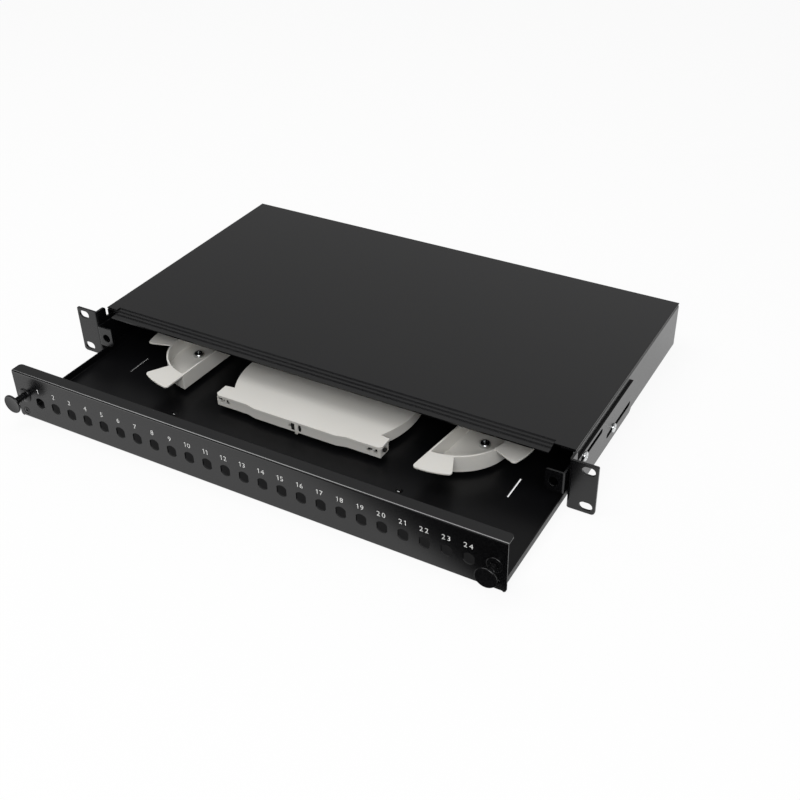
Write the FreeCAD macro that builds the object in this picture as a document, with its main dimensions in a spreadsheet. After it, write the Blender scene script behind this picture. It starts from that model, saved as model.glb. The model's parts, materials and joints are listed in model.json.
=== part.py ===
import FreeCAD, Part
import math
import os
import Sketcher

# A fibre optic patch panel, 19 inches wide and one unit high, with a sliding drawer.
# Lengths are millimetres and angles are degrees.
# X runs to the right seen from the front, Y runs from the front to the back, and Z is up.
# The origin is the centre of the four rack slots, in the plane of the ears' front faces.
# Heights in the sheet are counted from the ears' bottom edge, and every piece is placed
# down from the origin by half a unit height. The drawer is shown part way out.

doc = FreeCAD.newDocument("patch_panel")

# The driving sizes. A size that starts with an equals sign follows from those above it.

SIZES = {
    # rack standard
    "panel_width": 482.6,
    "unit_height": 43.66,
    "rack_slot_rise": 31.75,
    "rack_slot_inset": 7.3,
    "rack_slot_width": 7.0,
    "rack_slot_length": 10.2,
    # case
    "ear_reach": 22.3,
    "case_width": "=panel_width - 2 * ear_reach",
    "case_top_gap": 0.96,
    "case_height": "=unit_height - case_top_gap",
    "case_front": 13.6,
    "case_depth": 236.2,
    "case_sheet": 1.2,
    "case_flange": 11.8,
    "bend_radius": 2.0,
    "seat_gap": 0.1,
    "entry_bore": 20.5,
    "entry_inset": 54.0,
    "entry_level": 19.5,
    # lid
    "cover_sheet": 1.2,
    "cover_side_gap": 0.3,
    "lip_inset": 15.0,
    "lip_shift": 3.0,
    "lip_relief": 0.6,
    "lip_root": 4.1,
    "lip_drop": 1.0,
    "lip_ledge": 2.4,
    "lip_shelf": 4.8,
    "cover_hem": 11.5,
    # rack brackets
    "bracket_sheet": 2.0,
    "bracket_depth": 132.0,
    "bracket_shoulder": 11.5,
    "bracket_step": 9.66,
    "bracket_foot": 3.7,
    "bracket_bend": 2.5,
    "adjust_slot_width": 4.2,
    "adjust_slot_margin": 5.0,
    "adjust_slot_bridge": 12.0,
    "adjust_slot_length": 52.0,
    "front_slot_length": 44.0,
    "front_slot_drop": 5.3,
    "rear_slot_rise": 10.5,
    "front_screw_setback": 8.0,
    "rear_screw_setback": 14.0,
    "bracket_screw": 4.0,
    "bracket_screw_head": 8.0,
    "bracket_screw_rise": 2.3,
    "screw_clearance": 0.2,
    "nut_width": 7.0,
    "nut_height": 3.0,
    # catch angles beside the ears
    "catch_ahead": 3.0,
    "catch_sheet": 1.5,
    "catch_edge": 6.7,
    "catch_low": 13.5,
    "catch_high": 31.8,
    "catch_leg_margin": 9.0,
    "catch_bore": 7.6,
    "catch_corner": 5.0,
    # latch pins
    "latch_inset": 9.7,
    "latch_level": 21.83,
    "latch_knob": 16.5,
    "latch_knob_thick": 2.0,
    "latch_out": 12.9,
    "latch_pin": 5.85,
    "latch_reach": 7.1,
    "latch_bore": 6.0,
    "grommet_width": 12.5,
    "grommet_rim": 1.0,
    "grommet_barrel": 8.2,
    # front plate
    "drawer_out": 95.4,
    "closed_gap": 1.5,
    "plate_side_gap": 0.6,
    "plate_height": "=unit_height + seat_gap",
    "plate_sheet": 1.2,
    "plate_flange": 10.5,
    "plate_foot": 13.1,
    "plate_foot_inset": 22.3,
    "plate_corner": 3.0,
    "port_count": 24,
    "port_margin": 26.695,
    "port_shift": 1.5,
    "port_level": 18.8,
    "port_bore": 10.2,
    "port_flat": 8.5,
    "plate_screw_inset": 7.7,
    "plate_screw_level": 6.4,
    "plate_screw": 3.5,
    "plate_screw_head": 6.9,
    "plate_screw_length": 7.0,
    # tray
    "tray_side_gap": 1.6,
    "tray_rear_gap": 13.9,
    "tray_sheet": 1.2,
    "tray_gap": 0.3,
    "tray_wall_top": 8.8,
    "tray_tab_top": 10.8,
    "tray_tab_margin": 2.8,
    "tray_tab_width": 9.6,
    "rear_wall_top": 9.0,
    "hook_rise": 16.8,
    "hook_arm": 5.0,
    "hook_width": 10.0,
    "hook_side_gap": 1.1,
    "hook_case_gap": 0.4,
    "floor_slot_inset": 40.5,
    "floor_slot_start": 87.0,
    "floor_slot_length": 25.0,
    "floor_slot_width": 1.4,
    "tie_loop_inset": 114.0,
    "tie_loop_setback": 55.9,
    "tie_loop_length": 6.0,
    "tie_loop_width": 2.5,
    "tie_loop_rise": 1.5,
    # spools
    "spool_inset_right": 79.0,
    "spool_inset_left": 83.5,
    "spool_setback": 0.7,
    "spool_turn_right": -7.0,
    "spool_turn_left": -2.1,
    "spool_lift": 3.8,
    "spool_height": 14.5,
    "spool_radius": 45.2,
    "spool_centre": 25.0,
    "spool_chord": 22.1,
    "spool_wall": 1.7,
    "spool_floor": 1.5,
    "wing_reach": 20.9,
    "wing_sheet": 1.5,
    "wing_side": 18.0,
    "wing_inner": 60.0,
    "wing_corner": 3.0,
    "spool_bore": 4.15,
    "spool_screw": 4.0,
    "spool_screw_head": 8.0,
    "spool_screw_rise": 2.2,
    "spool_play": 0.1,
    "spool_post": 7.0,
    # splice cassette
    "cassette_rear_gap": 28.4,
    "cassette_lift": 4.8,
    "cassette_radius": 78.7,
    "cassette_waist": 37.7,
    "cassette_tab": 8.4,
    "cassette_front": 52.7,
    "cassette_bulge": 2.0,
    "bulge_half": 38.0,
    "bulge_slope": 8.8,
    "cassette_tab_back": 38.8,
    "cassette_wall": 1.5,
    "cassette_floor": 1.5,
    "cassette_base_height": 8.3,
    "cassette_inset": 0.8,
    "cassette_cover": 2.0,
    "window_edge": 5.4,
    "window_pitch": 6.0,
    "window_centre": 4.5,
    "window_width": 3.2,
    "window_rise": 3.0,
    "window_sill": 3.0,
    "tongue_width": 5.0,
    "end_notch_start": 3.7,
    "end_notch_width": 8.0,
    "cassette_post_x": 45.0,
    "cassette_post_y": 32.0,
    "cassette_post": 7.0,
    "splice_count": 12,
    "splice_pitch": 4.4,
    "splice_groove": 2.6,
    "splice_depth": 3.0,
    "splice_length": 36.0,
    "splice_height": 5.0,
}

sheet = doc.addObject("Spreadsheet::Sheet", "Sizes")
for row, (alias, size) in enumerate(SIZES.items(), start=1):
    sheet.set(f"A{row}", alias.replace("_", " "))
    sheet.set(f"B{row}", str(size))
    sheet.setAlias(f"B{row}", alias)
doc.recompute()

# Places that several pieces share, written as expressions of the sheet

BASE = "-Sizes.unit_height / 2"
SIDE = "Sizes.case_width / 2"
CASE_REAR = "Sizes.case_front + Sizes.case_depth"
WALL_REAR = f"{CASE_REAR} - Sizes.cover_sheet - Sizes.seat_gap"
LID_UNDERSIDE = "Sizes.case_height - Sizes.cover_sheet"
SIDE_TOP = f"{LID_UNDERSIDE} - Sizes.seat_gap"
BRACKET_OUTER = f"({SIDE} + Sizes.bracket_sheet)"
REAR_SLOT_END = "(Sizes.bracket_depth - Sizes.adjust_slot_margin)"
REAR_SLOT_START = f"({REAR_SLOT_END} - Sizes.adjust_slot_length)"
FRONT_SLOT_END = f"({REAR_SLOT_START} - Sizes.adjust_slot_bridge)"
FRONT_SLOT_START = f"({FRONT_SLOT_END} - Sizes.front_slot_length)"
BRACKET_TOP = "(Sizes.unit_height - Sizes.bracket_step)"
FRONT_SLOT_LEVEL = f"({BRACKET_TOP} - Sizes.front_slot_drop)"
REAR_SLOT_LEVEL = "(Sizes.bracket_foot + Sizes.rear_slot_rise)"
FRONT_SCREW_Y = f"({FRONT_SLOT_START} + Sizes.front_screw_setback)"
REAR_SCREW_Y = f"({REAR_SLOT_START} + Sizes.rear_screw_setback)"
CATCH_FRONT = "(-1 * Sizes.catch_ahead)"
CATCH_OUTER = f"({SIDE} - Sizes.case_sheet - Sizes.seat_gap)"
CATCH_INSIDE = f"({CATCH_OUTER} - Sizes.catch_sheet)"
CATCH_LEG_END = f"({FRONT_SCREW_Y} + Sizes.catch_leg_margin)"
LATCH_X = f"({SIDE} - Sizes.latch_inset)"
CATCH_INNER = f"({LATCH_X} - Sizes.catch_edge)"
PLATE_BACK = "(-1 * (Sizes.catch_ahead + Sizes.closed_gap + Sizes.drawer_out))"
PLATE_FRONT = f"({PLATE_BACK} - Sizes.plate_sheet)"
PLATE_HALF = f"({SIDE} - Sizes.plate_side_gap)"
PLATE_SCREW_X = f"({SIDE} - Sizes.plate_screw_inset)"
PORT_PITCH = f"(2 * ({PLATE_HALF} - Sizes.port_margin) / (Sizes.port_count - 1))"
TRAY_UNDERSIDE = "(Sizes.case_sheet + Sizes.tray_gap)"
TRAY_FLOOR = f"({TRAY_UNDERSIDE} + Sizes.tray_sheet)"
TRAY_SIDE = f"({SIDE} - Sizes.case_sheet - Sizes.tray_side_gap)"
TRAY_REAR = f"({WALL_REAR} - Sizes.case_sheet - Sizes.tray_rear_gap - Sizes.drawer_out)"
SPOOL_X = {
    1: f"({SIDE} - Sizes.spool_inset_right)",
    -1: f"(-1 * ({SIDE} - Sizes.spool_inset_left))",
}
SPOOL_LEVEL = f"({TRAY_FLOOR} + Sizes.spool_lift)"
WING_RADIUS = "(Sizes.spool_radius + Sizes.wing_reach)"
CASSETTE_Y = (
    f"({TRAY_REAR} - Sizes.tray_sheet - Sizes.cassette_rear_gap - Sizes.cassette_radius)"
)
SPOOL_Y = f"({CASSETTE_Y} - Sizes.spool_setback)"
CASSETTE_LEVEL = f"({TRAY_FLOOR} + Sizes.cassette_lift)"
CASSETTE_TOP = f"({CASSETTE_LEVEL} + Sizes.cassette_base_height)"
CASSETTE_HALF = (
    "(sqrt(Sizes.cassette_radius ^ 2 - Sizes.cassette_waist ^ 2) + Sizes.cassette_tab)"
)

nodes = []


def number(expression):
    """The value of an expression of the sheet."""
    return float(sheet.evalExpression(expression))


def place(piece, x="0", y="0", z="0"):
    """Bind a piece's position, with its height counted from the ears' bottom edge."""
    piece.setExpression("Placement.Base.x", x)
    piece.setExpression("Placement.Base.y", y)
    piece.setExpression("Placement.Base.z", f"({BASE}) + ({z})")


def new_body(label, keep=True):
    """A named body, kept as a node of its own unless it is only part of a group."""
    body = doc.addObject("PartDesign::Body", label)
    body.Label = label
    place(body)
    if keep:
        nodes.append(body)
    return body


def new_sketch(body, plane, level="0"):
    """A sketch on the body's top, front or side plane, moved to a level along +Z, +Y or +X."""
    roles = {"top": "XY_Plane", "front": "XZ_Plane", "side": "YZ_Plane"}
    sketch = body.newObject("Sketcher::SketchObject", body.Label + "_sketch")
    origin_plane = next(f for f in body.Origin.OriginFeatures if f.Role == roles[plane])
    sketch.AttachmentSupport = (origin_plane, "")
    sketch.MapMode = "FlatFace"
    sign = "-1" if plane == "front" else "1"
    sketch.setExpression("AttachmentOffset.Base.z", f"{sign} * ({level})")
    return sketch


def bind(sketch, kind, geometry, point, expression):
    """Fix a point's distance from the sketch's origin along one axis."""
    index = sketch.addConstraint(
        Sketcher.Constraint(kind, -1, 1, geometry, point, number(expression))
    )
    sketch.setExpression(f"Constraints[{index}]", expression)


def bind_radius(sketch, geometry, expression):
    """Fix the radius of a circle or an arc."""
    index = sketch.addConstraint(Sketcher.Constraint("Radius", geometry, number(expression)))
    sketch.setExpression(f"Constraints[{index}]", expression)


def arc_between(start, end, radius, turn):
    """The shorter arc from start to end, counter-clockwise when turn is positive."""
    first, last = (start, end) if turn > 0 else (end, start)
    chord = last - first
    middle = (first + last) * 0.5
    height = max(radius**2 - (chord.Length / 2) ** 2, 0.0) ** 0.5
    across = FreeCAD.Vector(-chord.y, chord.x, 0) / chord.Length
    centre = middle + across * height
    circle = Part.Circle(centre, FreeCAD.Vector(0, 0, 1), radius)
    return Part.ArcOfCircle(circle, circle.parameter(first), circle.parameter(last))


def outline(sketch, corners):
    """A closed outline. A corner is (u, v), or (u, v, radius, turn) where an arc starts."""
    points = [FreeCAD.Vector(number(c[0]), number(c[1]), 0) for c in corners]
    count = len(corners)
    ends = []
    for index, corner in enumerate(corners):
        start = points[index]
        end = points[(index + 1) % count]
        if len(corner) == 2:
            geometry = sketch.addGeometry(Part.LineSegment(start, end))
            ends.append((geometry, 1, 2))
        else:
            arc = arc_between(start, end, number(corner[2]), corner[3])
            geometry = sketch.addGeometry(arc)
            ends.append((geometry, 1, 2) if corner[3] > 0 else (geometry, 2, 1))
    for index in range(count):
        following = ends[(index + 1) % count]
        joint = Sketcher.Constraint(
            "Coincident", ends[index][0], ends[index][2], following[0], following[1]
        )
        sketch.addConstraint(joint)
    for corner, (geometry, start, _) in zip(corners, ends):
        bind(sketch, "DistanceX", geometry, start, corner[0])
        bind(sketch, "DistanceY", geometry, start, corner[1])
        if len(corner) > 2:
            bind_radius(sketch, geometry, corner[2])


def rectangle(sketch, left, low, right, high):
    """A rectangle between two corners."""
    outline(sketch, [(left, low), (right, low), (right, high), (left, high)])


def circle(sketch, u, v, diameter):
    """A circle by its centre and diameter."""
    centre = FreeCAD.Vector(number(u), number(v), 0)
    radius = f"({diameter}) / 2"
    geometry = sketch.addGeometry(
        Part.Circle(centre, FreeCAD.Vector(0, 0, 1), number(radius))
    )
    bind(sketch, "DistanceX", geometry, 3, u)
    bind(sketch, "DistanceY", geometry, 3, v)
    bind_radius(sketch, geometry, radius)


def eight_sided(sketch, u, v, diameter):
    """Eight sides with flats at the diameter, for screws and the holes that they cover."""
    flat = f"({diameter}) / 2"
    near = f"({diameter}) / 2 * tan(22.5)"
    outline(sketch, [
        (f"{u} + {flat}", f"{v} - {near}"),
        (f"{u} + {flat}", f"{v} + {near}"),
        (f"{u} + {near}", f"{v} + {flat}"),
        (f"{u} - {near}", f"{v} + {flat}"),
        (f"{u} - {flat}", f"{v} + {near}"),
        (f"{u} - {flat}", f"{v} - {near}"),
        (f"{u} - {near}", f"{v} - {flat}"),
        (f"{u} + {near}", f"{v} - {flat}"),
    ])


def slot(sketch, left, right, level, width):
    """A round-ended slot along the sketch's first axis, by its two end points."""
    radius = f"({width}) / 2"
    centres = [f"({left}) + {radius}", f"({right}) - {radius}"]
    half = number(radius)
    middle = number(level)
    up = FreeCAD.Vector(0, 0, 1)
    first = Part.Circle(FreeCAD.Vector(number(centres[0]), middle, 0), up, half)
    second = Part.Circle(FreeCAD.Vector(number(centres[1]), middle, 0), up, half)
    quarter = math.pi / 2
    low = FreeCAD.Vector(0, -half, 0)
    arc_left = sketch.addGeometry(Part.ArcOfCircle(first, quarter, 3 * quarter))
    edge_low = sketch.addGeometry(Part.LineSegment(first.Center + low, second.Center + low))
    arc_right = sketch.addGeometry(Part.ArcOfCircle(second, -quarter, quarter))
    edge_high = sketch.addGeometry(Part.LineSegment(second.Center - low, first.Center - low))
    loop = [arc_left, edge_low, arc_right, edge_high]
    for index, geometry in enumerate(loop):
        following = loop[(index + 1) % 4]
        sketch.addConstraint(Sketcher.Constraint("Tangent", geometry, 2, following, 1))
    for geometry, centre in ((arc_left, centres[0]), (arc_right, centres[1])):
        bind(sketch, "DistanceX", geometry, 3, centre)
        bind(sketch, "DistanceY", geometry, 3, level)
        bind_radius(sketch, geometry, radius)


def faceted_slot(sketch, left, right, level, width):
    """A slot by its two end points, with three short edges for each round end."""
    high = f"({level}) + ({width}) / 2"
    low = f"({level}) - ({width}) / 2"
    step = f"({width}) / 4"
    inset = f"({width}) * 0.35"
    outline(sketch, [
        (f"({left}) + {inset}", low),
        (f"({right}) - {inset}", low),
        (right, f"({level}) - {step}"),
        (right, f"({level}) + {step}"),
        (f"({right}) - {inset}", high),
        (f"({left}) + {inset}", high),
        (left, f"({level}) + {step}"),
        (left, f"({level}) - {step}"),
    ])


def extrude(kind, body, sketch, length):
    """A pad or pocket from the sketch's level towards +X, +Y or +Z."""
    feature = body.newObject(kind, sketch.Name + "_feature")
    feature.Profile = sketch
    feature.setExpression("Length", length)
    front = sketch.AttachmentSupport[0][0].Role == "XZ_Plane"
    feature.Reversed = front if kind == "PartDesign::Pad" else not front
    sketch.Visibility = False
    doc.recompute()
    return feature


def pad(body, sketch, length):
    return extrude("PartDesign::Pad", body, sketch, length)


def cut(body, sketch, length):
    """A pocket that has to take material away."""
    before = body.Shape.Volume
    feature = extrude("PartDesign::Pocket", body, sketch, length)
    if body.Shape.Volume > before - 1e-6:
        raise RuntimeError(f"{feature.Name} cuts nothing from {body.Label}")
    return feature


def edges_at(shape, x=None, y=None, z=None):
    """Names of the edges that lie wholly on the given coordinates."""
    found = []
    for index, edge in enumerate(shape.Edges, start=1):
        box = edge.BoundBox
        spans = ((x, box.XMin, box.XMax), (y, box.YMin, box.YMax), (z, box.ZMin, box.ZMax))
        if all(at is None or (abs(low - at) < 1e-4 and abs(high - at) < 1e-4)
               for at, low, high in spans):
            found.append(f"Edge{index}")
    return found


def soften(body, kind, size, places):
    """Fillet or chamfer the edges at each (x, y, z), where None leaves an axis free."""
    base = body.Tip
    names = []
    for at in places:
        values = [None if axis is None else number(axis) for axis in at]
        found = edges_at(base.Shape, *values)
        if not found:
            raise RuntimeError(f"no edge of {body.Label} at {at}")
        names += found
    feature = body.newObject(kind, body.Label + "_edge")
    feature.Base = (base, sorted(set(names)))
    feature.setExpression("Radius" if kind.endswith("Fillet") else "Size", size)
    doc.recompute()
    return feature


def fillet(body, radius, places):
    return soften(body, "PartDesign::Fillet", radius, places)


def chamfer(body, size, places):
    return soften(body, "PartDesign::Chamfer", size, places)


def chamfer_rims(body, size, level):
    """Break the rims of the round holes in the front face that lies at a level."""
    base = body.Tip
    names = []
    for name in edges_at(base.Shape, y=number(level)):
        edge = base.Shape.getElement(name)
        if isinstance(edge.Curve, Part.Circle) and edge.isClosed():
            names.append(name)
    feature = body.newObject("PartDesign::Chamfer", body.Label + "_rim")
    feature.Base = (base, names)
    feature.setExpression("Size", size)
    doc.recompute()


def repeat(body, feature, direction, pitch, count):
    """A straight row of copies of one feature along the body's X axis."""
    pattern = body.newObject("PartDesign::LinearPattern", feature.Name + "_row")
    pattern.Originals = [feature]
    axis = next(f for f in body.Origin.OriginFeatures if f.Role == direction)
    pattern.Direction = (axis, [""])
    pattern.setExpression("Length", f"({pitch}) * (({count}) - 1)")
    pattern.setExpression("Occurrences", count)
    body.Tip = pattern
    doc.recompute()
    return pattern


def turned(label, profile, at, direction, keep=True):
    """A turned piece. The profile is (radius, height) pairs, with height along direction."""
    body = new_body(label, keep)
    rotation = FreeCAD.Rotation(FreeCAD.Vector(0, 0, 1), FreeCAD.Vector(*direction))
    body.Placement = FreeCAD.Placement(FreeCAD.Vector(), rotation)
    place(body, *at)
    sketch = new_sketch(body, "front")
    outline(sketch, profile)
    feature = body.newObject("PartDesign::Revolution", label + "_turn")
    feature.Profile = sketch
    feature.ReferenceAxis = (sketch, ["V_Axis"])
    feature.Angle = 360
    sketch.Visibility = False
    doc.recompute()
    return body


def add_shank(body, start, length, diameter):
    """An eight-sided shank inside the diameter, from start down to length below the seat."""
    section = new_sketch(body, "top", f"-({length})")
    eight_sided(section, "0", "0", f"({diameter}) * cos(22.5)")
    pad(body, section, f"{length} - {start}")


def pan_head_screw(label, at, direction, sizes, length, keep=True):
    """A pan-head screw whose head stands up from the seat along direction."""
    shank, head, rise = sizes
    profile = [("0", "0"), (f"{head} / 2", "0"), (f"{head} / 2", rise), ("0", rise)]
    body = turned(label, profile, at, direction, keep)
    add_shank(body, "0", length, shank)
    return body


def group(label, members):
    """Several like solids in one node."""
    compound = doc.addObject("Part::Compound", label)
    compound.Label = label
    compound.Links = members
    nodes.append(compound)
    doc.recompute()
    return compound


def mirrored(label, source):
    """The left-hand piece that mirrors a right-hand one across the middle plane."""
    mirror = doc.addObject("Part::Mirroring", label)
    mirror.Label = label
    mirror.Source = source
    mirror.Normal = FreeCAD.Vector(1, 0, 0)
    nodes.append(mirror)
    doc.recompute()
    return mirror


# Case body: bottom, sides with in-turned top flanges, and rear wall, of one sheet


def make_case_body():
    body = new_body("case_body")
    inner = f"({SIDE}) - Sizes.case_sheet"
    tongue = f"({SIDE}) - Sizes.case_flange"
    under = f"({SIDE_TOP}) - Sizes.case_sheet"
    section = new_sketch(body, "front", "Sizes.case_front")
    outline(section, [
        (f"-({SIDE})", "0"),
        (SIDE, "0"),
        (SIDE, SIDE_TOP),
        (tongue, SIDE_TOP),
        (tongue, under),
        (inner, under),
        (inner, "Sizes.case_sheet"),
        (f"-({inner})", "Sizes.case_sheet"),
        (f"-({inner})", under),
        (f"-({tongue})", under),
        (f"-({tongue})", SIDE_TOP),
        (f"-({SIDE})", SIDE_TOP),
    ])
    pad(body, section, f"({WALL_REAR}) - Sizes.case_front")
    fillet(body, "Sizes.bend_radius", [
        (f"-({SIDE})", None, "0"),
        (SIDE, None, "0"),
        (f"-({SIDE})", None, SIDE_TOP),
        (SIDE, None, SIDE_TOP),
    ])
    fillet(body, "Sizes.bend_radius - Sizes.case_sheet", [
        (f"-({inner})", None, "Sizes.case_sheet"),
        (inner, None, "Sizes.case_sheet"),
        (f"-({inner})", None, under),
        (inner, None, under),
    ])
    rear = new_sketch(body, "front", f"({WALL_REAR}) - Sizes.case_sheet")
    span = f"({inner}) + Sizes.case_sheet / 2"
    rectangle(rear, f"-({span})", "Sizes.case_sheet / 2", span, f"({SIDE_TOP}) - Sizes.case_sheet / 2")
    pad(body, rear, "Sizes.case_sheet")
    entries = new_sketch(body, "front", f"({WALL_REAR}) - 2 * Sizes.case_sheet")
    for side in ("-1", "1"):
        circle(entries, f"{side} * ({SIDE} - Sizes.entry_inset)", "Sizes.entry_level",
               "Sizes.entry_bore")
    cut(body, entries, "3 * Sizes.case_sheet")
    bores = new_sketch(body, "side", f"-({SIDE})")
    bore = "Sizes.bracket_screw + Sizes.screw_clearance"
    eight_sided(bores, FRONT_SCREW_Y, FRONT_SLOT_LEVEL, bore)
    eight_sided(bores, REAR_SCREW_Y, REAR_SLOT_LEVEL, bore)
    cut(body, bores, "Sizes.case_width")


# Lid: a flat sheet with a stepped lip between its front corners and a hem down the back


def make_top_cover():
    body = new_body("top_cover")
    half = f"({SIDE} - Sizes.cover_side_gap)"
    lip = f"({SIDE} - Sizes.lip_inset)"
    lip_left = f"(-1 * {lip} - Sizes.lip_shift)"
    notch_left = f"{lip_left} - Sizes.lip_relief"
    notch_right = f"{lip} - Sizes.lip_shift + Sizes.lip_relief"
    root = "Sizes.case_front + Sizes.lip_root"
    flat = new_sketch(body, "top", LID_UNDERSIDE)
    outline(flat, [
        (f"-({half})", "Sizes.case_front"),
        (notch_left, "Sizes.case_front"),
        (notch_left, root),
        (notch_right, root),
        (notch_right, "Sizes.case_front"),
        (half, "Sizes.case_front"),
        (half, CASE_REAR),
        (f"-({half})", CASE_REAR),
    ])
    pad(body, flat, "Sizes.cover_sheet")
    # Each step goes forward by one ledge and down by one drop, on a 45 degree riser.
    upper = [(f"({root}) + Sizes.cover_sheet", "Sizes.case_height")]
    forward = root
    level = "Sizes.case_height"
    for ledge in ("Sizes.lip_ledge", "Sizes.lip_ledge", "Sizes.lip_shelf"):
        upper.append((forward, level))
        forward = f"{forward} - Sizes.lip_drop"
        level = f"{level} - Sizes.lip_drop"
        upper.append((forward, level))
        forward = f"{forward} - {ledge}"
    upper.append((forward, level))
    lower = [(y, f"{z} - Sizes.cover_sheet") for y, z in reversed(upper)]
    steps = new_sketch(body, "side", lip_left)
    outline(steps, upper + lower)
    pad(body, steps, f"2 * {lip}")
    hem_half = f"({half}) - Sizes.bend_radius"
    hem = new_sketch(body, "front", f"({CASE_REAR}) - Sizes.cover_sheet")
    low = "Sizes.case_height - Sizes.cover_hem"
    rectangle(hem, f"-({hem_half})", low, hem_half, f"({LID_UNDERSIDE}) + Sizes.cover_sheet / 2")
    pad(body, hem, "Sizes.cover_sheet")
    fillet(body, "Sizes.cover_sheet * 0.8", [(None, CASE_REAR, "Sizes.case_height")])


# Rack brackets: ears with two rack slots, and a long slotted leg on the case's side


def make_rack_bracket():
    body = new_body("rack_bracket_right")
    outer = BRACKET_OUTER
    tip = "Sizes.panel_width / 2"
    plan = new_sketch(body, "top")
    outline(plan, [
        (SIDE, "0"),
        (tip, "0"),
        (tip, "Sizes.bracket_sheet"),
        (outer, "Sizes.bracket_sheet"),
        (outer, "Sizes.bracket_depth"),
        (SIDE, "Sizes.bracket_depth"),
    ])
    pad(body, plan, "Sizes.unit_height")
    past_end = "Sizes.bracket_depth + Sizes.bracket_sheet"
    above = new_sketch(body, "side", SIDE)
    rectangle(
        above, "Sizes.bracket_shoulder", BRACKET_TOP, past_end, "Sizes.unit_height + Sizes.bracket_sheet"
    )
    cut(body, above, "Sizes.bracket_sheet")
    below = new_sketch(body, "side", SIDE)
    rectangle(below, "3 * Sizes.bracket_sheet", "-Sizes.bracket_sheet", past_end, "Sizes.bracket_foot")
    cut(body, below, "Sizes.bracket_sheet")
    fillet(body, "Sizes.bracket_bend", [(SIDE, "0", None)])
    fillet(body, "Sizes.bracket_bend", [(None, "Sizes.bracket_depth", BRACKET_TOP)])
    fillet(body, "2 * Sizes.bracket_bend", [
        (None, "Sizes.bracket_depth", "Sizes.bracket_foot"),
    ])
    fillet(body, "Sizes.bracket_bend", [
        (None, "Sizes.bracket_shoulder", "Sizes.unit_height"),
        (None, "Sizes.bracket_shoulder", BRACKET_TOP),
        (None, "3 * Sizes.bracket_sheet", "Sizes.bracket_foot"),
    ])
    fillet(body, "Sizes.bracket_sheet * 0.6", [(tip, None, "Sizes.unit_height")])
    fillet(body, "Sizes.bracket_sheet * 1.5", [(tip, None, "0")])
    adjust = new_sketch(body, "side", SIDE)
    faceted_slot(adjust, FRONT_SLOT_START, FRONT_SLOT_END,
                 FRONT_SLOT_LEVEL, "Sizes.adjust_slot_width")
    faceted_slot(adjust, REAR_SLOT_START, REAR_SLOT_END,
                 REAR_SLOT_LEVEL, "Sizes.adjust_slot_width")
    cut(body, adjust, "Sizes.bracket_sheet")
    rack = new_sketch(body, "front")
    middle = f"({tip} - Sizes.rack_slot_inset)"
    half = "Sizes.rack_slot_length / 2"
    for side in ("-1", "1"):
        level = f"Sizes.unit_height / 2 + {side} * Sizes.rack_slot_rise / 2"
        slot(rack, f"{middle} - {half}", f"{middle} + {half}", level, "Sizes.rack_slot_width")
    cut(body, rack, "Sizes.bracket_sheet")
    return body


# Bracket screws go through the bracket's slots and the case's side into clinch nuts.
# The front one goes through the catch angle's leg as well.

SCREW_PLACES = [
    (FRONT_SCREW_Y, FRONT_SLOT_LEVEL, CATCH_INSIDE),
    (REAR_SCREW_Y, REAR_SLOT_LEVEL, f"({SIDE}) - Sizes.case_sheet"),
]


def hexagon(sketch, u, v, width):
    """A hexagon with two flats across the sketch's second axis."""
    flat = f"{width} / 2"
    corner = f"{width} / sqrt(3)"
    outline(sketch, [
        (f"{u} - {corner}", v),
        (f"{u} - {corner} / 2", f"{v} - {flat}"),
        (f"{u} + {corner} / 2", f"{v} - {flat}"),
        (f"{u} + {corner}", v),
        (f"{u} + {corner} / 2", f"{v} + {flat}"),
        (f"{u} - {corner} / 2", f"{v} + {flat}"),
    ])


def hex_nut(seat, y, z, bore):
    """A nut inside the case, with a flat upwards, standing inwards from its seat."""
    body = new_body("clinch_nut", keep=False)
    section = new_sketch(body, "side", f"({seat}) - Sizes.nut_height")
    hexagon(section, y, z, "Sizes.nut_width")
    eight_sided(section, y, z, bore)
    pad(body, section, "Sizes.nut_height")
    return body


def make_bracket_fasteners():
    face = BRACKET_OUTER
    bore = "Sizes.bracket_screw + Sizes.screw_clearance"
    screws = []
    nuts = []
    for y, z, seat in SCREW_PLACES:
        sizes = ("Sizes.bracket_screw", "Sizes.bracket_screw_head", "Sizes.bracket_screw_rise")
        length = f"({face}) - ({seat}) + Sizes.nut_height"
        screws.append(
            pan_head_screw("bracket_screw", (face, y, z), (1, 0, 0), sizes, length, keep=False)
        )
        nuts.append(hex_nut(seat, y, z, bore))
    right_screws = group("bracket_screws_right", screws)
    right_nuts = group("clinch_nuts_right", nuts)
    mirrored("bracket_screws_left", right_screws)
    mirrored("clinch_nuts_left", right_nuts)


# Catch angles: a tab with the latch's hole beside each ear, on a leg inside the case


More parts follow.
